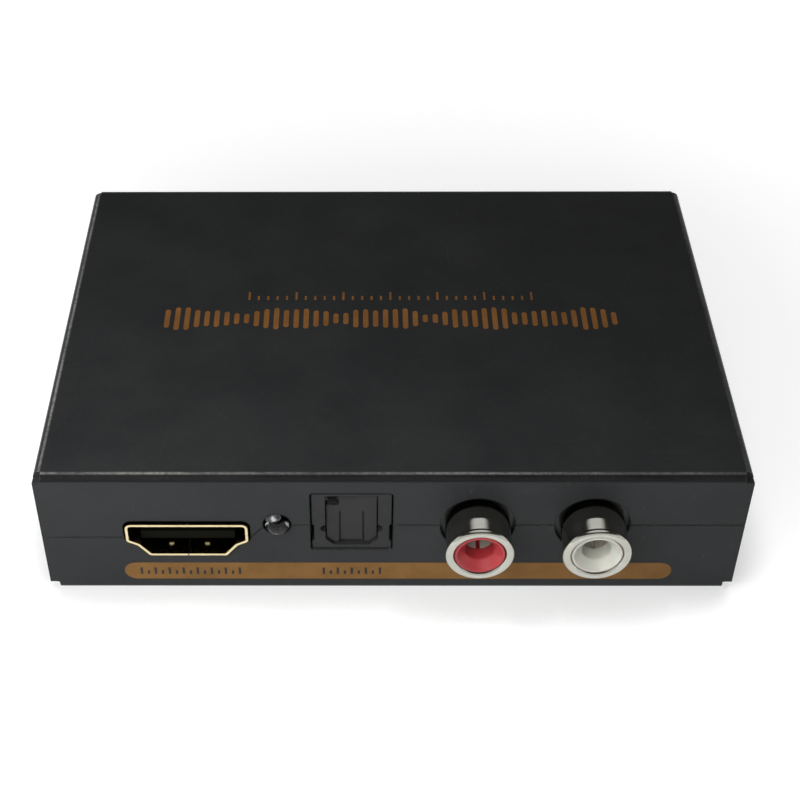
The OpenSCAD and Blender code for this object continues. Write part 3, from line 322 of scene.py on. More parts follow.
class FoldShadeAndHighlight(Effect):
    """Painted light on each fold of a sheet case: painted shade, a dark band across the fold's curve, and a
    painted highlight, a chipped bright line along its top edge that fades from left to right.
    """

    name = "Fold shade and highlight"
    inputs = {"Breakup Scale": 1400.0, "Amount": 1.0}
    outputs = ("Bend Shade", "Crest Highlight")
    reach: float = 0.045

    def join(self, g: Graph, ins: Sockets) -> tuple[Socket, ...]:
        """Picks the painted shade and the painted highlight by the slope of the normal."""
        up = g.along(g.normal(), Axis.Z)
        # Painted shade: a dark band across the fold's curve.
        bend_shade = g.times(g.spread(up, 0.10, 0.30), g.spread(up, 0.93, 0.84))
        # Painted highlight: a bright line where the fold starts to leave the top, broken into chips and
        # streaks.
        crest_highlight = g.times(g.spread(up, 0.90, 0.95), g.spread(up, 0.9995, 0.988))
        chips = g.spread(g.noise(ins["Breakup Scale"], 6.0, 0.75), 0.36, 0.60, 0.25, 1.0)
        long = g.spread(g.noise(1.0, 3.0, 0.6, g.stretched((90.0, 90.0, 20.0))), 0.38, 0.62, 0.25, 1.0)
        # The painted highlight fades from full at the left to about a third at the right, between minus and
        # plus reach in X.
        side = g.spread(g.along(g.place(), Axis.X), -self.reach, self.reach, 1.0, 0.35)
        crest_highlight = g.times(g.times(crest_highlight, chips), g.times(long, side))
        return bend_shade, g.times(crest_highlight, ins["Amount"], clamp=True)


class SoftEdges(Effect):
    """A normal that rounds the edges over a radius."""

    name = "Soft edges"
    inputs = {"Radius": 0.0001}
    outputs = ("Normal",)

    def join(self, g: Graph, ins: Sockets) -> tuple[Socket, ...]:
        """Rounds the normal."""
        return (g.rounded(ins["Radius"]),)


class SettledDust(Effect):
    """Dust that settles on what faces up."""

    name = "Settled dust"
    inputs = {"Amount": 0.1}

    def join(self, g: Graph, ins: Sockets) -> tuple[Socket, ...]:
        """Adds flecks to a thin film."""
        up = g.spread(g.along(g.normal(), Axis.Z), 0.2, 0.95)
        flecks = g.spread(g.noise(2600.0, 3.0, 0.7), 0.6, 0.76)
        film = g.spread(g.noise(70.0, 4.0, 0.6), 0.35, 0.75, 0.0, 0.4)
        return (g.times(g.times(up, g.plus(flecks, film)), ins["Amount"], clamp=True),)


class LongScratches(Effect):
    """Long thin scratches in two directions."""

    name = "Long scratches"
    inputs = {"Amount": 0.2}
    ways: tuple[tuple[Place, float], ...] = (((60.0, 2600.0, 900.0), 0.5), ((2300.0, 75.0, 900.0), -0.35))

    def join(self, g: Graph, ins: Sockets) -> tuple[Socket, ...]:
        """Stretches a noise each way and keeps its peaks in patches."""
        lines = [
            g.spread(g.noise(1.0, 1.0, 0.4, g.stretched(scale, turn)), 0.71, 0.78)
            for scale, turn in self.ways
        ]
        patches = g.spread(g.noise(45.0, 2.0, 0.5), 0.5, 0.66)
        return (g.times(g.times(g.math("MAXIMUM", *lines), patches), ins["Amount"], clamp=True),)


class HandSmudges(Effect):
    """Slow changes of gloss where hands have been, as Value round zero."""

    name = "Hand smudges"
    inputs = {"Scale": 60.0, "Amount": 0.1}
    outputs = ("Value",)

    def join(self, g: Graph, ins: Sockets) -> tuple[Socket, ...]:
        """Centres a noise on zero."""
        return (g.times(g.math("SUBTRACT", g.noise(ins["Scale"], 6.0, 0.62), 0.5), ins["Amount"]),)


GRAIN = FineGrain()
WEAR_AND_SHADE = EdgeWearAndShade()
FOLD_SHADE_AND_HIGHLIGHT = FoldShadeAndHighlight()
SOFT_EDGES = SoftEdges()
DUST = SettledDust()
SCRATCHES = LongScratches()
SMUDGES = HandSmudges()


# Finishes


def shaded(colour: Colour, by: float) -> Colour:
    """Returns a colour times a factor, up to white."""
    return tuple(min(1.0, part * by) for part in colour)


@dataclass(frozen=True)
class Finish:
    """A surface finish; each kind builds its own material."""

    name: str
    slot: str

    def fill(self, g: Graph, shader: bpy.types.Node) -> None:
        """Joins this finish's nodes to the shader."""
        raise NotImplementedError

    def material(self) -> bpy.types.Material:
        """Returns the finish's material, made on first use."""
        known = bpy.data.materials.get(self.name)
        if known is not None and known.get("ready"):
            return known
        made = bpy.data.materials.new(self.name)
        g = blank(made)
        shader = g.node("ShaderNodeBsdfPrincipled")
        output = g.node("ShaderNodeOutputMaterial")
        g.set(output, Surface=shader.outputs[0])
        self.fill(g, shader)
        made["ready"] = True
        return made

    @staticmethod
    def bump(g: Graph, shader: bpy.types.Node, height: object, depth: float, edge: float) -> None:
        """Joins a bump over soft edges to the shader.

        Args:
            g: graph of the material.
            shader: shader that takes the normal.
            height: height from 0 to 1.
            depth: metres that a height of 1 stands for.
            edge: radius of the soft edges in metres.
        """
        bump = g.node("ShaderNodeBump")
        g.set(bump, Distance=depth, Height=height)
        if edge > 0:
            g.set(bump, Normal=g.group(SOFT_EDGES, Radius=edge).outputs["Normal"])
        g.set(shader, Normal=bump.outputs["Normal"])


@dataclass(frozen=True)
class PaintedSheet(Finish):
    """Satin powder coat on folded steel, worn thin along its edges, with painted shade in each fold's curve
    and along the edges of its front and back faces, and a painted highlight along the top edge of each
    fold.
    """

    colour: Colour = (0.0178, 0.0189, 0.0196)
    wear_and_highlight_colour: Colour = (0.17, 0.165, 0.155)
    roughness: float = 0.38
    specular: float = 0.09
    grain_scale: float = 4300.0
    grain_depth: float = 0.000030
    fleck_colour: Colour = (0.036, 0.037, 0.038)
    scratch_colour: Colour = (0.085, 0.085, 0.082)
    fold_shade_colour: Colour = (0.004, 0.0042, 0.0045)
    rim_shade_colour: Colour = (0.003, 0.003, 0.003)
    dust_colour: Colour = (0.24, 0.235, 0.225)

    def fill(self, g: Graph, shader: bpy.types.Node) -> None:
        """Joins the powder coat's nodes to the shader."""
        grain = g.group(GRAIN, Grain_Scale=self.grain_scale, Mottle_Scale=95.0)
        wear = g.group(WEAR_AND_SHADE, Width=0.00022, Breakup_Scale=1500.0, Amount=0.6)
        panel = g.spread(g.math("ABSOLUTE", g.along(g.normal(), Axis.Y)), 0.90, 0.97)
        worn = g.times(wear.outputs["Mask"], g.math("SUBTRACT", 1.0, panel))
        # Painted shade: dark lines along the edges of faces that look to the front or back, round the
        # cutouts and the seam.
        rim = g.group(WEAR_AND_SHADE, Width=0.00030, Breakup_Scale=200.0, Amount=2.6)
        rim_painted_shade = g.times(rim.outputs["Mask"], panel, clamp=True)
        dust = g.group(DUST, Amount=0.10)
        scratches = g.group(SCRATCHES, Amount=0.22)
        smudge = g.group(SMUDGES, Scale=42.0, Amount=0.11)
        light = shaded(self.colour, 1.22)
        base = g.mix(g.spread(grain.outputs["Mottle"], 0.3, 0.7), self.colour, light)
        base = g.mix(g.spread(grain.outputs["Height"], 0.56, 0.72, 0.0, 0.4), base, self.fleck_colour)
        base = g.mix(scratches.outputs["Mask"], base, self.scratch_colour)
        # Painted shade in each fold's curve, then a painted highlight along its top edge in a lighter tint
        # of the wear colour.
        fold_light = g.group(FOLD_SHADE_AND_HIGHLIGHT, Breakup_Scale=1400.0, Amount=0.9)
        base = g.mix(g.times(fold_light.outputs["Bend Shade"], 0.92), base, self.fold_shade_colour)
        base = g.mix(fold_light.outputs["Crest Highlight"], base, shaded(self.wear_and_highlight_colour, 1.7))
        base = g.mix(worn, base, self.wear_and_highlight_colour)
        base = g.mix(g.times(rim_painted_shade, 0.85), base, self.rim_shade_colour)
        base = g.mix(dust.outputs["Mask"], base, self.dust_colour)
        rough = g.plus(self.roughness, smudge.outputs["Value"])
        rough = g.plus(rough, g.times(dust.outputs["Mask"], 0.3))
        g.set(
            shader, Base_Color=base, Roughness=rough, Metallic=g.times(worn, 0.7),
            Specular_IOR_Level=self.specular,
        )
        self.bump(g, shader, grain.outputs["Height"], self.grain_depth, 0.00010)


@dataclass(frozen=True)
class PlatedMetal(Finish):
    """Plated or drawn metal with fine marks, tarnish and soft edges."""

    colour: Colour = (0.7, 0.7, 0.7)
    tarnish: Colour = (0.3, 0.28, 0.24)
    roughness: float = 0.2
    marks: Place = (2500.0, 200.0, 2500.0)
    mark_depth: float = 0.000003
    tarnish_share: float = 0.3
    edge: float = 0.00006
    dull_within: float = 0.0

    def fill(self, g: Graph, shader: bpy.types.Node) -> None:
        """Joins the metal's nodes to the shader."""
        drawn = g.noise(1.0, 2.0, 0.5, g.stretched(self.marks))
        grain = g.group(GRAIN, Grain_Scale=6500.0, Mottle_Scale=420.0)
        stain = g.spread(grain.outputs["Mottle"], 0.45, 0.8, 0.0, self.tarnish_share)
        scratches = g.group(SCRATCHES, Amount=0.35)
        smudge = g.group(SMUDGES, Scale=300.0, Amount=0.14)
        base = g.mix(stain, self.colour, self.tarnish)
        base = g.mix(g.spread(drawn, 0.3, 0.7, 0.0, 0.12), base, shaded(self.colour, 0.6))
        if self.dull_within > 0:
            depth = g.math("SUBTRACT", self.dull_within, g.math("ABSOLUTE", g.along(g.place(), Axis.Y)))
            inside = g.spread(depth, -0.0001, 0.0003, 0.0, 0.8)
            base = g.mix(inside, base, shaded(self.colour, 0.42))
        rough = g.plus(self.roughness, smudge.outputs["Value"])
        rough = g.plus(rough, g.times(stain, 0.25))
        rough = g.plus(rough, g.times(scratches.outputs["Mask"], 0.2), clamp=True)
        g.set(shader, Base_Color=base, Roughness=rough, Metallic=1.0)
        height = g.plus(g.times(drawn, 0.7), g.times(grain.outputs["Height"], 0.3))
        self.bump(g, shader, height, self.mark_depth, self.edge)


@dataclass(frozen=True)
class MouldedPlastic(Finish):
    """Moulded plastic, resin or ceramic with a slight skin and edges lighter as wear, or darker as painted
    shade where edge_gain is below 1.
    """

    colour: Colour = (0.03, 0.03, 0.03)
    roughness: float = 0.4
    grain_scale: float = 5200.0
    grain_depth: float = 0.000006
    edge_gain: float = 1.7
    edge: float = 0.00012
    subsurface: float = 0.0
    specular: float = 0.42
    dusty: float = 0.12
    edge_width: float = 0.00012
    edge_share: float = 0.6
    dust_colour: Colour = (0.3, 0.29, 0.27)

    def fill(self, g: Graph, shader: bpy.types.Node) -> None:
        """Joins the plastic's nodes to the shader."""
        grain = g.group(GRAIN, Grain_Scale=self.grain_scale, Mottle_Scale=260.0)
        wear = g.group(WEAR_AND_SHADE, Width=self.edge_width, Breakup_Scale=1800.0, Amount=self.edge_share)
        dust = g.group(DUST, Amount=self.dusty)
        smudge = g.group(SMUDGES, Scale=180.0, Amount=0.12)
        darker = shaded(self.colour, 0.84)
        # An edge_gain above 1 lightens the edges as wear; below 1 it paints shade along them.
        edge_tone = tuple(min(1.0, c * self.edge_gain + 0.001) for c in self.colour)
        base = g.mix(g.spread(grain.outputs["Mottle"], 0.35, 0.68), self.colour, darker)
        base = g.mix(wear.outputs["Mask"], base, edge_tone)
        base = g.mix(dust.outputs["Mask"], base, self.dust_colour)
        rough = g.plus(self.roughness, smudge.outputs["Value"], clamp=True)
        g.set(shader, Base_Color=base, Roughness=rough, Specular_IOR_Level=self.specular)
        if self.subsurface > 0:
            g.set(shader, Subsurface_Weight=self.subsurface, Subsurface_Scale=0.6 * MM)
        self.bump(g, shader, grain.outputs["Height"], self.grain_depth, self.edge)


@dataclass(frozen=True)
class ClearResin(Finish):
    """Clear moulded resin with faint flow lines."""

    colour: Colour = (0.30, 0.31, 0.31)
    roughness: float = 0.03
    bending: float = 1.38

    def fill(self, g: Graph, shader: bpy.types.Node) -> None:
        """Joins the resin's nodes to the shader."""
        flow = g.noise(1.0, 3.0, 0.5, g.stretched((500.0, 200.0, 900.0)))
        smudge = g.group(SMUDGES, Scale=500.0, Amount=0.05)
        darker = shaded(self.colour, 0.9)
        base = g.mix(g.spread(flow, 0.35, 0.7), self.colour, darker)
        rough = g.plus(self.roughness, smudge.outputs["Value"], clamp=True)
        g.set(shader, Base_Color=base, Roughness=rough, Transmission_Weight=1.0, IOR=self.bending)
        self.bump(g, shader, flow, 0.000002, 0.0)


@dataclass(frozen=True)
class PrintedInk(Finish):
    """Screen-printed ink that follows the powder coat's grain, with pinholes."""

    colour: Colour = (0.15, 0.085, 0.035)
    under: Colour = (0.03, 0.03, 0.03)
    roughness: float = 0.5
    gloss_change: float = 0.06
    pinholes: float = 0.5

    def fill(self, g: Graph, shader: bpy.types.Node) -> None:
        """Joins the ink's nodes to the shader."""
        grain = g.group(GRAIN, Grain_Scale=4300.0, Mottle_Scale=240.0)
        scratches = g.group(SCRATCHES, Amount=0.5)
        darker = shaded(self.colour, 0.72)
        base = g.mix(g.spread(grain.outputs["Mottle"], 0.35, 0.7), self.colour, darker)
        holes = g.spread(grain.outputs["Height"], 0.6, 0.72, 0.0, self.pinholes)
        base = g.mix(g.math("MAXIMUM", holes, scratches.outputs["Mask"]), base, self.under)
        low, high = self.roughness - self.gloss_change, self.roughness + self.gloss_change
        rough = g.spread(grain.outputs["Mottle"], 0.3, 0.7, low, high)
        g.set(shader, Base_Color=base, Roughness=rough, Specular_IOR_Level=0.12)
        self.bump(g, shader, grain.outputs["Height"], 0.000028, 0.0)


@dataclass(frozen=True)
class BoardLaminate(Finish):
    """Green solder mask over copper tracks on a glass laminate."""

    mask: Colour = (0.012, 0.10, 0.035)
    copper: Colour = (0.03, 0.2, 0.07)
    core: Colour = (0.2, 0.19, 0.09)
    dust_colour: Colour = (0.3, 0.3, 0.28)

    def fill(self, g: Graph, shader: bpy.types.Node) -> None:
        """Joins the laminate's nodes to the shader."""
        bricks = g.node("ShaderNodeTexBrick", offset=0.37, squash=1.6, squash_frequency=3)
        g.set(bricks, Vector=g.place(), Scale=190.0, Mortar_Size=0.028, Mortar_Smooth=0.1)
        tracks = bricks.outputs["Fac"]
        side = g.math("SUBTRACT", 1.0, g.math("ABSOLUTE", g.along(g.normal(), Axis.Z)), clamp=True)
        weave = g.noise(1.0, 2.0, 0.5, g.stretched((2400.0, 2400.0, 600.0)))
        dust = g.group(DUST, Amount=0.25)
        base = g.mix(tracks, self.mask, self.copper)
        base = g.mix(g.spread(weave, 0.4, 0.7, 0.0, 0.25), base, shaded(self.mask, 0.6))
        base = g.mix(side, base, self.core)
        base = g.mix(dust.outputs["Mask"], base, self.dust_colour)
        g.set(shader, Base_Color=base, Roughness=g.spread(weave, 0.3, 0.7, 0.28, 0.42))
        self.bump(g, shader, g.plus(tracks, g.times(weave, 0.3)), 0.000025, 0.00008)


COAT = PaintedSheet("powder coat", "case_paint")
SCREW_BLACK = PaintedSheet(
    "blackened screw", "black_screw", colour=(0.02, 0.02, 0.021), roughness=0.36, grain_scale=7000.0,
    grain_depth=0.000008,
)
STEEL = PlatedMetal(
    "zinc-plated steel", "plated_steel", colour=(0.55, 0.55, 0.54), tarnish=(0.3, 0.3, 0.29), roughness=0.32
)
GOLD = PlatedMetal(
    "gold flash on brass", "gold_plate", colour=(0.72, 0.61, 0.36), tarnish=(0.42, 0.32, 0.17),
    roughness=0.24, edge=0.00007, dull_within=0.03,
)
NICKEL = PlatedMetal(
    "bright nickel", "nickel", colour=(0.44, 0.44, 0.395), tarnish=(0.40, 0.36, 0.28), roughness=0.11,
    marks=(900.0, 2600.0, 900.0), mark_depth=0.0000018, tarnish_share=0.22,
)
TIN = PlatedMetal(
    "tinned copper", "tinned_leads", colour=(0.62, 0.62, 0.6), tarnish=(0.34, 0.33, 0.31), roughness=0.34
)
SPRING = PlatedMetal(
    "blued spring wire", "spring_wire", colour=(0.018, 0.018, 0.02), tarnish=(0.012, 0.01, 0.01),
    roughness=0.5,
)
CRYSTAL = PlatedMetal(
    "pressed can", "crystal_can", colour=(0.68, 0.68, 0.67), roughness=0.28, marks=(300.0, 2500.0, 2500.0)
)
ALUMINIUM = PlatedMetal(
    "capacitor aluminium", "can_aluminium", colour=(0.72, 0.73, 0.74), roughness=0.3,
    marks=(2200.0, 2200.0, 100.0),
)
INSULATOR = MouldedPlastic(
    "insulator black", "black_insulator", colour=(0.003, 0.003, 0.002), roughness=0.5, specular=0.03,
    edge_gain=1.0, dusty=0.0,
)
# The optical socket's edges are darkened as painted shade along the gaps round its housing and shutter.
OPTICAL = MouldedPlastic(
    "optical socket black", "optical_black", colour=(0.022, 0.022, 0.023), roughness=0.42, specular=0.10,
    edge_gain=0.1, edge_width=0.00022, edge_share=1.6,
)
JACK = MouldedPlastic("jack body black", "jack_black", colour=(0.016, 0.016, 0.016), roughness=0.45)
RED = MouldedPlastic(
    "red insert", "red_plastic", colour=(0.29, 0.020, 0.025), roughness=0.34, edge_gain=1.25,
    subsurface=0.12,
)
WHITE = MouldedPlastic(
    "white insert", "white_plastic", colour=(0.44, 0.436, 0.385), roughness=0.34, edge_gain=1.15,
    subsurface=0.15,
)
SOCKET = MouldedPlastic("power socket black", "socket_black", colour=(0.018, 0.018, 0.018), roughness=0.38)
PAPER = MouldedPlastic(
    "brown phenolic board", "brown_board", colour=(0.17, 0.075, 0.028), roughness=0.55, edge_gain=1.4
)
KNOB = MouldedPlastic(
    "knob black", "knob_black", colour=(0.013, 0.013, 0.013), roughness=0.4, edge_gain=2.2
)
RESIN = MouldedPlastic(
    "chip resin", "chip_resin", colour=(0.018, 0.018, 0.02), roughness=0.6, grain_depth=0.000012
)
FERRITE = MouldedPlastic(
    "ferrite", "ferrite", colour=(0.045, 0.045, 0.046), roughness=0.65, grain_depth=0.00002
)
BASE = MouldedPlastic("part base black", "black_base", colour=(0.018, 0.018, 0.018), roughness=0.5)
CERAMIC = MouldedPlastic(
    "tan ceramic", "tan_ceramic", colour=(0.30, 0.18, 0.09), roughness=0.5, edge_gain=1.3
)
FILM = MouldedPlastic(
    "resistor film", "black_ceramic", colour=(0.018, 0.018, 0.02), roughness=0.35, edge_gain=3.0
)
EMITTER = MouldedPlastic(
    "emitter resin", "emitter_resin", colour=(0.14, 0.02, 0.022), roughness=0.18, edge_gain=1.3
)
LENS = ClearResin("clear lamp resin", "clear_lens")
LAMINATE = BoardLaminate("board laminate", "board_green")
CONTACT = MouldedPlastic(
    "dull contact leaf", "tinned_leads", colour=(0.27, 0.24, 0.20), roughness=0.45, edge_gain=0.4
)
CHIP_CUP = PlatedMetal(
    "lamp cup", "tinned_leads", colour=(0.34, 0.35, 0.35), tarnish=(0.2, 0.2, 0.2), roughness=0.3
)
GOLD_INK = PrintedInk("gold ink", "case_paint", colour=(0.158, 0.080, 0.022))
TOP_INK = PrintedInk("top ink", "case_paint", colour=(0.240, 0.105, 0.030), pinholes=0.35)
BLACK_INK = PrintedInk("black ink", "case_paint", colour=(0.022, 0.021, 0.02), under=(0.08, 0.05, 0.03))

FINISHES: tuple[Finish, ...] = (
    COAT, SCREW_BLACK, STEEL, GOLD, NICKEL, TIN, SPRING, CRYSTAL, ALUMINIUM, INSULATOR, OPTICAL, JACK, RED,
    WHITE, SOCKET, PAPER, KNOB, RESIN, FERRITE, BASE, CERAMIC, FILM, EMITTER, LENS, LAMINATE,
)


# Mesh building


@dataclass
class Piece:
    """A mesh under construction that becomes one named object.

    A piece with an empty body rides on none.
    """

    name: str
    finish: Finish
    body: str = CASE
    mesh: bmesh.types.BMesh = field(default_factory=bmesh.new)

    def ring(self, points: list[Vector]) -> list[Vert]:
        """Adds one ring of points and returns its vertices."""
        return [self.mesh.verts.new(p) for p in points]

    def skin(self, a: list[Vert], b: list[Vert]) -> None:
        """Joins two closed rings of like length with faces."""
        count = len(a)
        for i in range(count):
            j = (i + 1) % count
            self.mesh.faces.new((a[i], a[j], b[j], b[i]))

    def turned(self, profile: list[Point], centre: Place, steps: int = 144, closed: bool = True) -> None:
        """Turns a profile of radius and distance about an axis that runs back.

        Args:
            profile: radius and distance along the axis, in metres.
            centre: place of the profile's zero.
            steps: number of places round the turn.
            closed: True if the profile's last point joins its first.
        """
        x, y, z = centre
        rings: list[list[Vert]] = []
        for radius, along in profile:
            count = steps if radius > 1e-9 else 1
            angles = (math.tau * k / count for k in range(count))
            rings.append(self.ring([
                Vector((x + radius * math.cos(a), y + along, z + radius * math.sin(a))) for a in angles
            ]))
        pairs = list(zip(rings, rings[1:]))
        if closed:
            pairs.append((rings[-1], rings[0]))
        for a, b in pairs:
            if len(a) == len(b):
                self.skin(a, b)
                continue
            tip, rim = (a[0], b) if len(a) == 1 else (b[0], a)
            for i in range(steps):
                self.mesh.faces.new((rim[i], rim[(i + 1) % steps], tip))

    def drawn(self, outline: list[Point], low: float, high: float, axis: Axis) -> None:
        """Draws an outline out along an axis.

        Args:
            outline: points across the axis, in metres.
            low: end that shows.
            high: the other end.
            axis: Y takes points of X and Z, and Z takes points of X and Y.
        """
        ends = [
            self.ring([Vector((u, along, v) if axis is Axis.Y else (u, v, along)) for u, v in outline])
            for along in (low, high)
        ]
        self.mesh.faces.new(ends[0])
        self.skin(*ends)
        self.mesh.faces.new(list(reversed(ends[1])))

    def bar(self, low: Place, high: Place, bevel: float) -> None:
        """Adds a bevelled block between two corners."""
        made = bmesh.ops.create_cube(self.mesh, size=1.0)
        span = Vector(high) - Vector(low)
        middle = (Vector(high) + Vector(low)) / 2
        for vert in made["verts"]:
            vert.co = middle + Vector(c * s for c, s in zip(vert.co, span))
        if bevel > 0:
            edges = {edge for vert in made["verts"] for edge in vert.link_edges}
            bmesh.ops.bevel(
                self.mesh, geom=list(edges), offset=bevel, segments=2, profile=0.5, affect="EDGES"
            )

    def wire(self, path: list[Vector], radius: float, sides: int = 12) -> None:
        """Draws a round wire along a path that bends about X, or nearly so."""
        across = Vector((1.0, 0.0, 0.0))
        rings = []
        for i, place in enumerate(path):
            ahead = path[min(i + 1, len(path) - 1)] - path[max(i - 1, 0)]
            out = ahead.cross(across).normalized()
            side = out.cross(ahead).normalized()
            angles = (math.tau * k / sides for k in range(sides))
            rings.append(
                self.ring([place + radius * (math.cos(a) * side + math.sin(a) * out) for a in angles])
            )
        self.mesh.faces.new(rings[0])
        for a, b in zip(rings, rings[1:]):
            self.skin(a, b)
        self.mesh.faces.new(list(reversed(rings[-1])))

    def finish_up(self, sharp: float = 34.0, replaces: tuple[str, ...] = ()) -> bpy.types.Object:
        """Makes the object, dresses it and lets it ride on its body.

        Args:
            sharp: angle in degrees over which an edge stays sharp.
            replaces: CAD nodes that the piece stands for.

        Returns:
            The finished object.
        """
        bmesh.ops.remove_doubles(self.mesh, verts=self.mesh.verts, dist=1e-8)
        bmesh.ops.recalc_face_normals(self.mesh, faces=self.mesh.faces)
        data = bpy.data.meshes.new(self.name)
        self.mesh.to_mesh(data)
        self.mesh.free()
        data.shade_smooth()
        data.set_sharp_from_angle(angle=math.radians(sharp))
        made = placed(self.name, data)
        data.materials.append(self.finish.material())
        if self.body:
            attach(made, self.body)
        if replaces:
            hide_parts(*replaces)
        LOG.info(
            "%s: %d faces, %s, on %s", made.name, len(data.polygons), self.finish.name,
            self.body or "two bodies",
        )
        return made


def oblong(x0: float, x1: float, z0: float, z1: float) -> list[Point]:
    """Outline of a plain bar."""
    return [(x0, z0), (x1, z0), (x1, z1), (x0, z1)]


def stadium(x0: float, x1: float, z0: float, z1: float, steps: int = 12) -> list[Point]:
    """Outline of a bar with round ends, from x0 to x1 and z0 to z1."""
    r, middle = (z1 - z0) / 2, (z0 + z1) / 2
    return arc((x1 - r, middle), r, -90, 90, steps) + arc((x0 + r, middle), r, 90, 270, steps)


def arc(centre: Point, radius: float, start: float, end: float, steps: int) -> list[Point]:
    """Points on an arc from one angle in degrees to another."""
    return [
        (centre[0] + radius * math.cos(math.radians(start + (end - start) * k / steps)),
         centre[1] + radius * math.sin(math.radians(start + (end - start) * k / steps)))
        for k in range(steps + 1)
    ]


# Sub-assemblies


@dataclass
class CadDress:
    """Gives every carried-over CAD node the finish of its material slot."""

    record: dict[str, object]
    nodes: dict[str, bpy.types.Object]
    by_node: dict[str, Finish]

    def dress(self) -> None:
        """Puts the finishes on the nodes."""
        by_slot = {finish.slot: finish for finish in FINISHES}
        for part in self.record["subparts"]:
            finish = self.by_node.get(part["node"], by_slot[part["material_slot"]])
            data = self.nodes[part["node"]].data
            data.materials.clear()
            data.materials.append(finish.material())
            LOG.info("%s: carried over in %s", part["node"], finish.name)


@dataclass
class PrintedMarks:
    """The printed band on the front flange and the bars on the top."""

    band_x: Point = (-33.4 * MM, 35.1 * MM)
    band_z: Point = (2.0 * MM, 5.0 * MM)
    film: float = 0.018 * MM
    tick_pitch: float = 0.88 * MM
    tick_w: float = 0.30 * MM
    tick_h: float = 1.2 * MM
    tick_rows: tuple[tuple[str, int], ...] = (("hdmi_out_shell", 15), ("optical_housing", 9))
    short_share: float = 0.55
    ink: float = 0.006 * MM
    title_x: Point = (-29.5 * MM, 29.9 * MM)
    title_y: float = -0.25 * MM
    title_h: float = 4.7 * MM
    title_bars: int = 46
    title_bar_w: float = 0.7 * MM
    line_x: Point = (-18.8 * MM, 19.3 * MM)
    line_y: Point = (3.7 * MM, 5.4 * MM)
    line_bars: int = 31
    line_group: int = 5
    line_half_w: float = 0.14 * MM

    def build(self) -> None:
        """Builds the band and the bars."""
        self.band()
        self.top()

    def band(self) -> None:
        """Builds the gold band with its small black marks."""
        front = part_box("bottom_tray")[0][1]
        gold = Piece("front_band", GOLD_INK)
        gold.drawn(stadium(*self.band_x, *self.band_z), front - self.film, front + self.film, Axis.Y)
        gold.finish_up()
        marks = Piece("band_marks", BLACK_INK)
        face = front - self.film
        middle = (self.band_z[0] + self.band_z[1]) / 2
        for node, count in self.tick_rows:
            low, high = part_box(node)
            first = (low[0] + high[0]) / 2 - self.tick_pitch * (count - 1) / 2
            foot = middle - self.tick_h / 2
            for k in range(count):
                x, w = first + k * self.tick_pitch, self.tick_w / 2
                tick = oblong(x - w, x + w, foot, foot + self.tick_h * (self.short_share if k % 2 else 1.0))
                marks.drawn(tick, face - self.ink, face + self.film, Axis.Y)
        marks.finish_up()

    def top(self) -> None:
        """Builds the rows of bars on the top."""
        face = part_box("top_cover")[1][2]
        chance = random.Random(11)
        bars = Piece("top_bars", TOP_INK)
        pitch = (self.title_x[1] - self.title_x[0]) / (self.title_bars - 1)
        for k in range(self.title_bars):
            x = self.title_x[0] + k * pitch
            swell = 0.5 + 0.3 * math.sin(0.62 * k + 0.4) + 0.2 * math.sin(1.37 * k)
            h = self.title_h * max(0.3, min(1.0, 0.35 + 0.75 * swell + chance.uniform(-0.1, 0.1)))
            y, w = self.title_y, self.title_bar_w / 2
            bar = [(v, u) for u, v in stadium(y - h / 2, y + h / 2, x - w, x + w, 6)]
            bars.drawn(bar, face + self.film, face - self.film, Axis.Z)
        bars.finish_up()
        dots = Piece("top_scale_marks", TOP_INK)
        pitch = (self.line_x[1] - self.line_x[0]) / (self.line_bars - 1)
        for k in range(self.line_bars):
            x = self.line_x[0] + k * pitch
            y0, y1 = self.line_y
            end = (y0 + y1) / 2 if k % self.line_group else y1
            mark = oblong(x - self.line_half_w, x + self.line_half_w, y0, end)
            dots.drawn(mark, face + self.film, face - self.film, Axis.Z)
        dots.finish_up()


@dataclass
class StatusLamp:
    """The clear domed lamp with its cup and post inside."""

    radius: float = 1.5 * MM
    flange_radius: float = 1.9 * MM
    flange_t: float = 0.8 * MM
    dome_steps: int = 20
    cup_radius: float = 0.62 * MM
    cup_shift: float = 0.35 * MM
    cup_rim: float = 2.15 * MM
    cup_floor: float = 2.45 * MM
    cup_end: float = 2.9 * MM
    stem_x: Point = (-0.6 * MM, -0.1 * MM)
    post_x: Point = (0.5 * MM, 0.85 * MM)
    post_top: float = 2.5 * MM
    post_half: float = 0.22 * MM
    post_end_gap: float = 0.1 * MM
    small_bevel: float = 0.05 * MM

    def build(self) -> None:
        """Builds the lens and what stands in it."""
        low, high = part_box("status_lamp")
        centre = ((low[0] + high[0]) / 2, low[1], (low[2] + high[2]) / 2)
        depth = high[1] - low[1]
        r = self.radius
        profile = [(0.0, 0.0)] + arc((0.0, r), r, -90, 0, self.dome_steps)[1:]
        step = depth - self.flange_t
        profile += [(r, step), (self.flange_radius, step), (self.flange_radius, depth), (0.0, depth)]
        lens = Piece("lamp_lens", LENS)
        lens.turned(profile, centre, closed=False)
        lens.finish_up(sharp=40.0, replaces=("status_lamp",))
        inner = Piece("lamp_cup", CHIP_CUP)
        x, y, z = centre
        c, lip, end = self.cup_radius, self.cup_rim, self.cup_end
        cup = [(0.0, self.cup_floor), (c * 0.45, self.cup_floor - self.small_bevel), (c * 0.85, lip)]
        inner.turned(
            cup + [(c, lip), (c, end), (0.0, end)], (x - self.cup_shift, y, z), steps=48, closed=False
        )
        foot = y + depth - self.post_end_gap
        for (left, right), top in ((self.stem_x, end), (self.post_x, self.post_top)):
            low, high = (x + left, y + top, z - self.post_half), (x + right, foot, z + self.post_half)
            inner.bar(low, high, self.small_bevel)
        inner.finish_up()


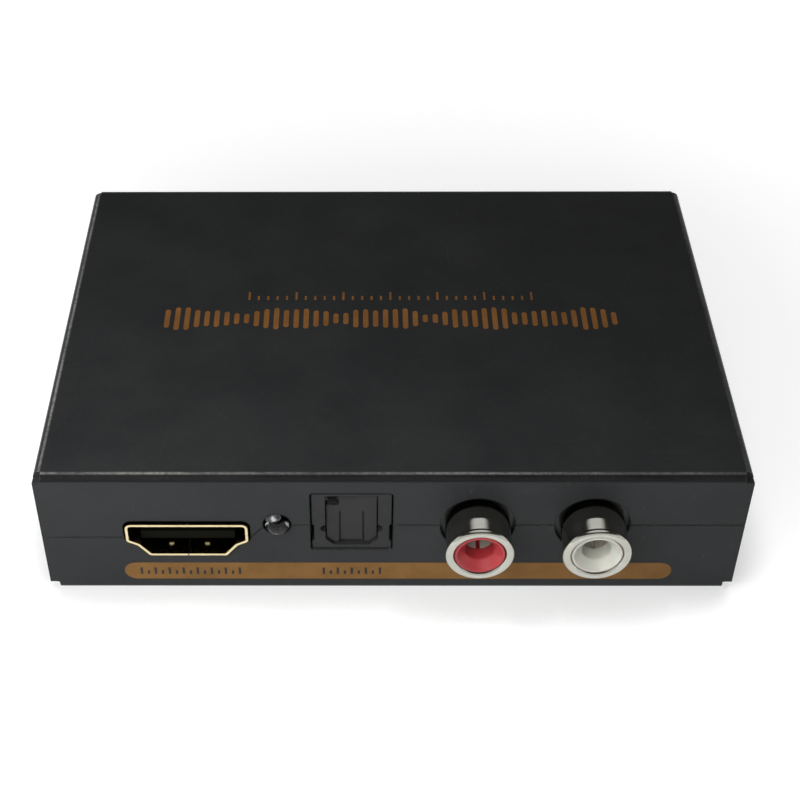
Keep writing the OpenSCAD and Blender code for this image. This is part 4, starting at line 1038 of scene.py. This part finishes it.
@dataclass
class TorsionSpring:
    """The shutter's return spring, which winds up as the shutter swings in."""

    wire_r: float = 0.1 * MM
    coil_r: float = 0.62 * MM
    leg_l: float = 2.6 * MM
    room: float = 1.5 * MM
    lift: float = 60.0
    whole_turns: int = 5
    steps: int = 36

    def build(self) -> None:
        """Builds the wire in place of the CAD's and leaves it on no body."""
        low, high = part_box("shutter_spring")
        hinge = Vector((low[0] + self.wire_r, low[1] + self.coil_r + self.wire_r, low[2] + self.leg_l))
        sweep = 360.0 * self.whole_turns - self.lift
        travel = self.room - 4 * self.wire_r
        count = round(sweep * self.steps / 360.0)
        path = [hinge + Vector((0.0, self.coil_r, -self.leg_l * (1 - k / 8))) for k in range(8)]
        for k in range(count + 1):
            a = math.radians(sweep * k / count)
            path.append(
                hinge + Vector((travel * k / count, self.coil_r * math.cos(a), self.coil_r * math.sin(a)))
            )
        lift = math.radians(self.lift)
        rise = (high[2] - self.wire_r - path[-1].z) / math.cos(lift)
        path.append(path[-1] + rise * Vector((0.0, math.sin(lift), math.cos(lift))))
        coil = Piece("spring_wire", SPRING, body="")
        coil.wire(path, self.wire_r)
        made = coil.finish_up(sharp=60.0, replaces=("shutter_spring",))
        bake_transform(made)


@dataclass
class PhonoJack:
    """One jack: the nickel sleeve with its rolled bead, and the coloured insert."""

    colour_name: str
    plastic: Finish
    sleeve_r: float = 3.95 * MM
    bead_r: float = 4.15 * MM
    bead_l: float = 1.1 * MM
    bead_steps: int = 40
    bead_points: int = 53
    mouth_r: float = 3.05 * MM
    neck_r: float = 3.81 * MM
    neck_l: float = 1.6 * MM
    sharp_from: float = 4.0
    wall: float = 0.6 * MM
    lug_y: float = 7.4 * MM
    lug_half_w: float = 1.0 * MM
    lug_half_t: float = 0.25 * MM
    lug_bevel: float = 0.05 * MM
    seat_gap: float = 0.02 * MM
    lip_r: float = 3.03 * MM
    lip_round: float = 0.1 * MM
    set_back: float = 0.24 * MM
    cone_r: float = 2.75 * MM
    cone_l: float = 1.2 * MM
    hole_r: float = 1.75 * MM
    hole_l: float = 1.8 * MM
    rear_bore_r: float = 2.3 * MM
    cone_round: tuple[Point, ...] = ((-0.02 * MM, 0.03 * MM), (0.06 * MM, 0.0))
    cone_inside: Point = (-0.1 * MM, 0.14 * MM)
    hole_round: tuple[Point, ...] = ((0.0, 0.22 * MM), (0.05 * MM, 0.06 * MM), (0.14 * MM, -0.03 * MM))

    def build(self) -> None:
        """Builds the sleeve and the insert in place of the CAD's."""
        sleeve_node = f"{self.colour_name}_jack_sleeve"
        insert_node = f"{self.colour_name}_jack_insert"
        low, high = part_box(sleeve_node)
        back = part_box(insert_node)[1][1] - low[1]
        x = (low[0] + high[0]) / 2
        z = high[2] - self.bead_r
        centre = (x, low[1], z)
        self.sleeve(sleeve_node, centre, back, low[2])
        self.insert(insert_node, centre, back)

    def sleeve(self, node: str, centre: Place, back: float, foot: float) -> None:
        """Builds the sleeve with its bead and its solder lug."""
        inner = self.sleeve_r - self.wall
        half, middle = (self.bead_r - self.mouth_r) / 2, (self.bead_r + self.mouth_r) / 2
        nose = self.bead_l / 2
        profile = [(self.mouth_r, self.bead_l)]
        profile += [
            (middle - half * math.cos(a), nose - nose * math.sin(a))
            for a in (math.pi * k / self.bead_steps for k in range(self.bead_points))
        ]
        profile += [(self.neck_r, self.bead_l), (self.sleeve_r, self.bead_l + self.neck_l)]
        start = self.bead_l + self.neck_l
        profile += [(self.sleeve_r, back * k / 4 + start * (1 - k / 4)) for k in range(1, 5)]
        profile += [(inner, back), (inner, self.bead_l)]
        shell = Piece(node + "_shell", NICKEL)
        shell.turned(profile, centre)
        x, y, z = centre
        w, t, top = self.lug_half_w, self.lug_half_t, z - self.sleeve_r + self.lug_half_t
        shell.bar((x - w, y + self.lug_y - t, foot), (x + w, y + self.lug_y + t, top), self.lug_bevel)
        shell.finish_up(sharp=self.sharp_from, replaces=(node,))

    def insert(self, node: str, centre: Place, back: float) -> None:
        """Builds the insert: a funnel, the pin hole and the bore for the contact."""
        step = self.bead_l + self.seat_gap
        outer = self.sleeve_r - self.wall - self.seat_gap
        edge, front, hole_end = self.lip_round, self.set_back, self.cone_l + self.hole_l
        profile = [(self.cone_r + r, front + along) for r, along in self.cone_round]
        profile += arc((self.lip_r - edge, front + edge), edge, 270, 360, 5)
        profile += [(self.lip_r, step), (outer, step), (outer, back), (self.rear_bore_r, back)]
        profile += [(self.rear_bore_r, hole_end), (self.hole_r, hole_end)]
        profile += [(self.hole_r + r, self.cone_l + along) for r, along in self.hole_round]
        profile += [(self.cone_r + self.cone_inside[0], front + self.cone_inside[1])]
        core = Piece(node + "_core", self.plastic)
        core.turned(profile, centre)
        core.finish_up(sharp=32.0, replaces=(node,))


@dataclass(frozen=True)
class Lamp:
    """A soft rectangular lamp of so many watts that faces a point."""

    name: str
    at: Place
    aim: Place
    size: Point
    watts: float

    def build(self) -> None:
        """Adds the lamp; neither the camera nor gloss sees it."""
        data = bpy.data.lights.new(self.name, "AREA")
        data.shape = "RECTANGLE"
        data.size, data.size_y = self.size
        data.energy = self.watts
        made = placed(self.name, data)
        made.visible_camera = False
        made.visible_glossy = False
        made.location = self.at
        made.rotation_euler = (Vector(self.aim) - Vector(self.at)).to_track_quat("-Z", "Y").to_euler()


LAMPS = (
    Lamp("front strip", (-0.05, -0.11, 0.085), (0.0, -0.02, 0.02), (0.25, 0.05), 0.33),
    Lamp("overhead", (-0.10, 0.12, 0.46), (-0.02, 0.0, 0.02), (0.40, 0.30), 0.05),
    Lamp("rear", (0.10, 0.36, 0.012), (0.0, 0.03, 0.01), (0.30, 0.03), 0.9),
    Lamp("left", (-0.38, -0.02, 0.02), (-0.043, 0.0, 0.01), (0.20, 0.03), 0.9),
    Lamp("right", (0.38, 0.02, 0.02), (0.043, 0.0, 0.01), (0.20, 0.03), 0.7),
)


@dataclass
class Studio:
    """Floor, world, lamps and camera, none of them part of the object."""

    camera_at: Place = (-0.003963, -0.159353, 0.150156)
    right: Place = (0.99997221, 0.00537567, -0.00516627)
    up: Place = (0.00037677, 0.65560495, 0.75510397)
    ahead: Place = (-0.00744622, 0.75508493, -0.6555847)
    lens: float = 69.52
    shift: Point = (0.0653, -0.0452)
    floor_half: float = 3.0
    floor_tone: float = 0.78
    shadow_tone: float = 0.45
    floor_glow: float = 0.80
    glow_reach: Point = (0.065, 0.15)
    contact_reach: float = 0.012
    contact_from: Point = (0.62, 0.84)
    contact_depth: float = 0.66
    world_colour: Colour = (0.03, 0.03, 0.031)
    dim_colour: Colour = (0.055, 0.046, 0.04)
    level: float = 0.97
    lean: float = 0.26
    dim_from: Point = (0.34, 0.54)
    dim_to: Point = (0.93, 0.83)

    def build(self) -> None:
        """Builds the whole studio."""
        self.floor()
        self.world()
        for lamp in LAMPS:
            lamp.build()
        self.camera()

    def floor(self) -> None:
        """Builds a wide pale floor that keeps the object's soft shadow from the lamps; its glow is weaker
        close to the object, and a painted contact shadow darkens it there.
        """
        data = bpy.data.meshes.new("floor")
        half = self.floor_half
        corners = [(x, y, 0.0) for x, y in oblong(-half, half, -half, half)]
        data.from_pydata(corners, [], [(0, 1, 2, 3)])
        made = placed("floor", data)
        paint = bpy.data.materials.new("studio floor")
        g = blank(paint)
        paper = g.spread(g.noise(3.0, 2.0, 0.5), 0.3, 0.7, 0.988, 1.0)
        plain = g.node("ShaderNodeBsdfDiffuse")
        g.set(plain, Color=self.grey(g, g.times(paper, self.floor_tone)))
        dim = g.node("ShaderNodeBsdfDiffuse")
        glow = g.node("ShaderNodeEmission")
        away = g.node("ShaderNodeVectorMath", operation="LENGTH")
        g.feed(away.inputs[0], g.place())
        g.feed(
            glow.inputs["Strength"], g.spread(away.outputs["Value"], *self.glow_reach, self.floor_glow, 1.0)
        )
        # Painted contact shadow: an occlusion test darkens the floor's glow and diffuse colour close to the
        # object.
        near = g.node("ShaderNodeAmbientOcclusion", samples=12)
        g.set(near, Distance=self.contact_reach, Color=(1.0, 1.0, 1.0))
        shade = g.spread(near.outputs["AO"], *self.contact_from, self.contact_depth, 1.0)
        g.set(glow, Color=self.grey(g, shade))
        g.set(dim, Color=self.grey(g, g.times(shade, self.shadow_tone)))
        both = g.node("ShaderNodeAddShader")
        g.feed(both.inputs[0], dim.outputs[0])
        g.feed(both.inputs[1], glow.outputs[0])
        switch = g.node("ShaderNodeMixShader")
        g.feed(switch.inputs[0], g.seen())
        g.feed(switch.inputs[1], plain.outputs[0])
        g.feed(switch.inputs[2], both.outputs[0])
        output = g.node("ShaderNodeOutputMaterial")
        g.set(output, Surface=switch.outputs[0])
        data.materials.append(paint)

    @staticmethod
    def grey(g: Graph, value: object) -> Socket:
        """Turns a value into a grey colour."""
        made = g.node("ShaderNodeCombineColor")
        for socket in made.inputs:
            g.feed(socket, value)
        return made.outputs[0]

    def world(self) -> None:
        """Sets a soft even light, seen as white."""
        world = bpy.data.worlds.new("studio")
        g = blank(world)
        back = g.node("ShaderNodeBackground")
        way = g.node("ShaderNodeTexCoord").outputs["Generated"]
        up = g.plus(g.times(g.along(way, Axis.Z), self.level), g.times(g.along(way, Axis.Y), self.lean))
        dim = g.times(g.spread(up, *self.dim_from), g.spread(up, *self.dim_to))
        room = g.mix(dim, (1.0, 1.0, 1.0), self.dim_colour)
        shown = g.mix(g.node("ShaderNodeLightPath").outputs["Is Camera Ray"], room, (1.0, 1.0, 1.0))
        g.set(back, Color=g.mix(g.seen(), self.world_colour, shown), Strength=1.0)
        output = g.node("ShaderNodeOutputWorld")
        g.set(output, Surface=back.outputs[0])
        bpy.context.scene.world = world

    def camera(self) -> None:
        """Sets the camera that the photo was matched with."""
        data = bpy.data.cameras.new("camera")
        data.sensor_width = 36.0
        data.lens = self.lens
        data.shift_x, data.shift_y = self.shift
        data.clip_start = 0.005
        made = placed("camera", data)
        r, u, f = (Vector(v) for v in (self.right, self.up, self.ahead))
        made.matrix_world = Matrix.Translation(Vector(self.camera_at)) @ Matrix(
            ((r.x, u.x, -f.x), (r.y, u.y, -f.y), (r.z, u.z, -f.z))
        ).to_4x4()
        bpy.context.scene.camera = made


def plain(corners: tuple[object, object]) -> list[list[float]]:
    """Turns two corners into plain lists of numbers."""
    return [[float(c) for c in corner] for corner in corners]


def main() -> None:
    """Builds the scene in order and reports each piece."""
    logging.basicConfig(level=logging.INFO, format="%(message)s")
    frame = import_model()
    view = bpy.context.scene.view_settings
    view.view_transform = "Standard"
    CadDress(frame["record"], frame["nodes"], {"jack_contacts": CONTACT}).dress()
    StatusLamp().build()
    TorsionSpring().build()
    PhonoJack("red", RED).build()
    PhonoJack("white", WHITE).build()
    PrintedMarks().build()
    Studio().build()
    bpy.context.view_layer.update()


if __name__ == "__main__":
    main()
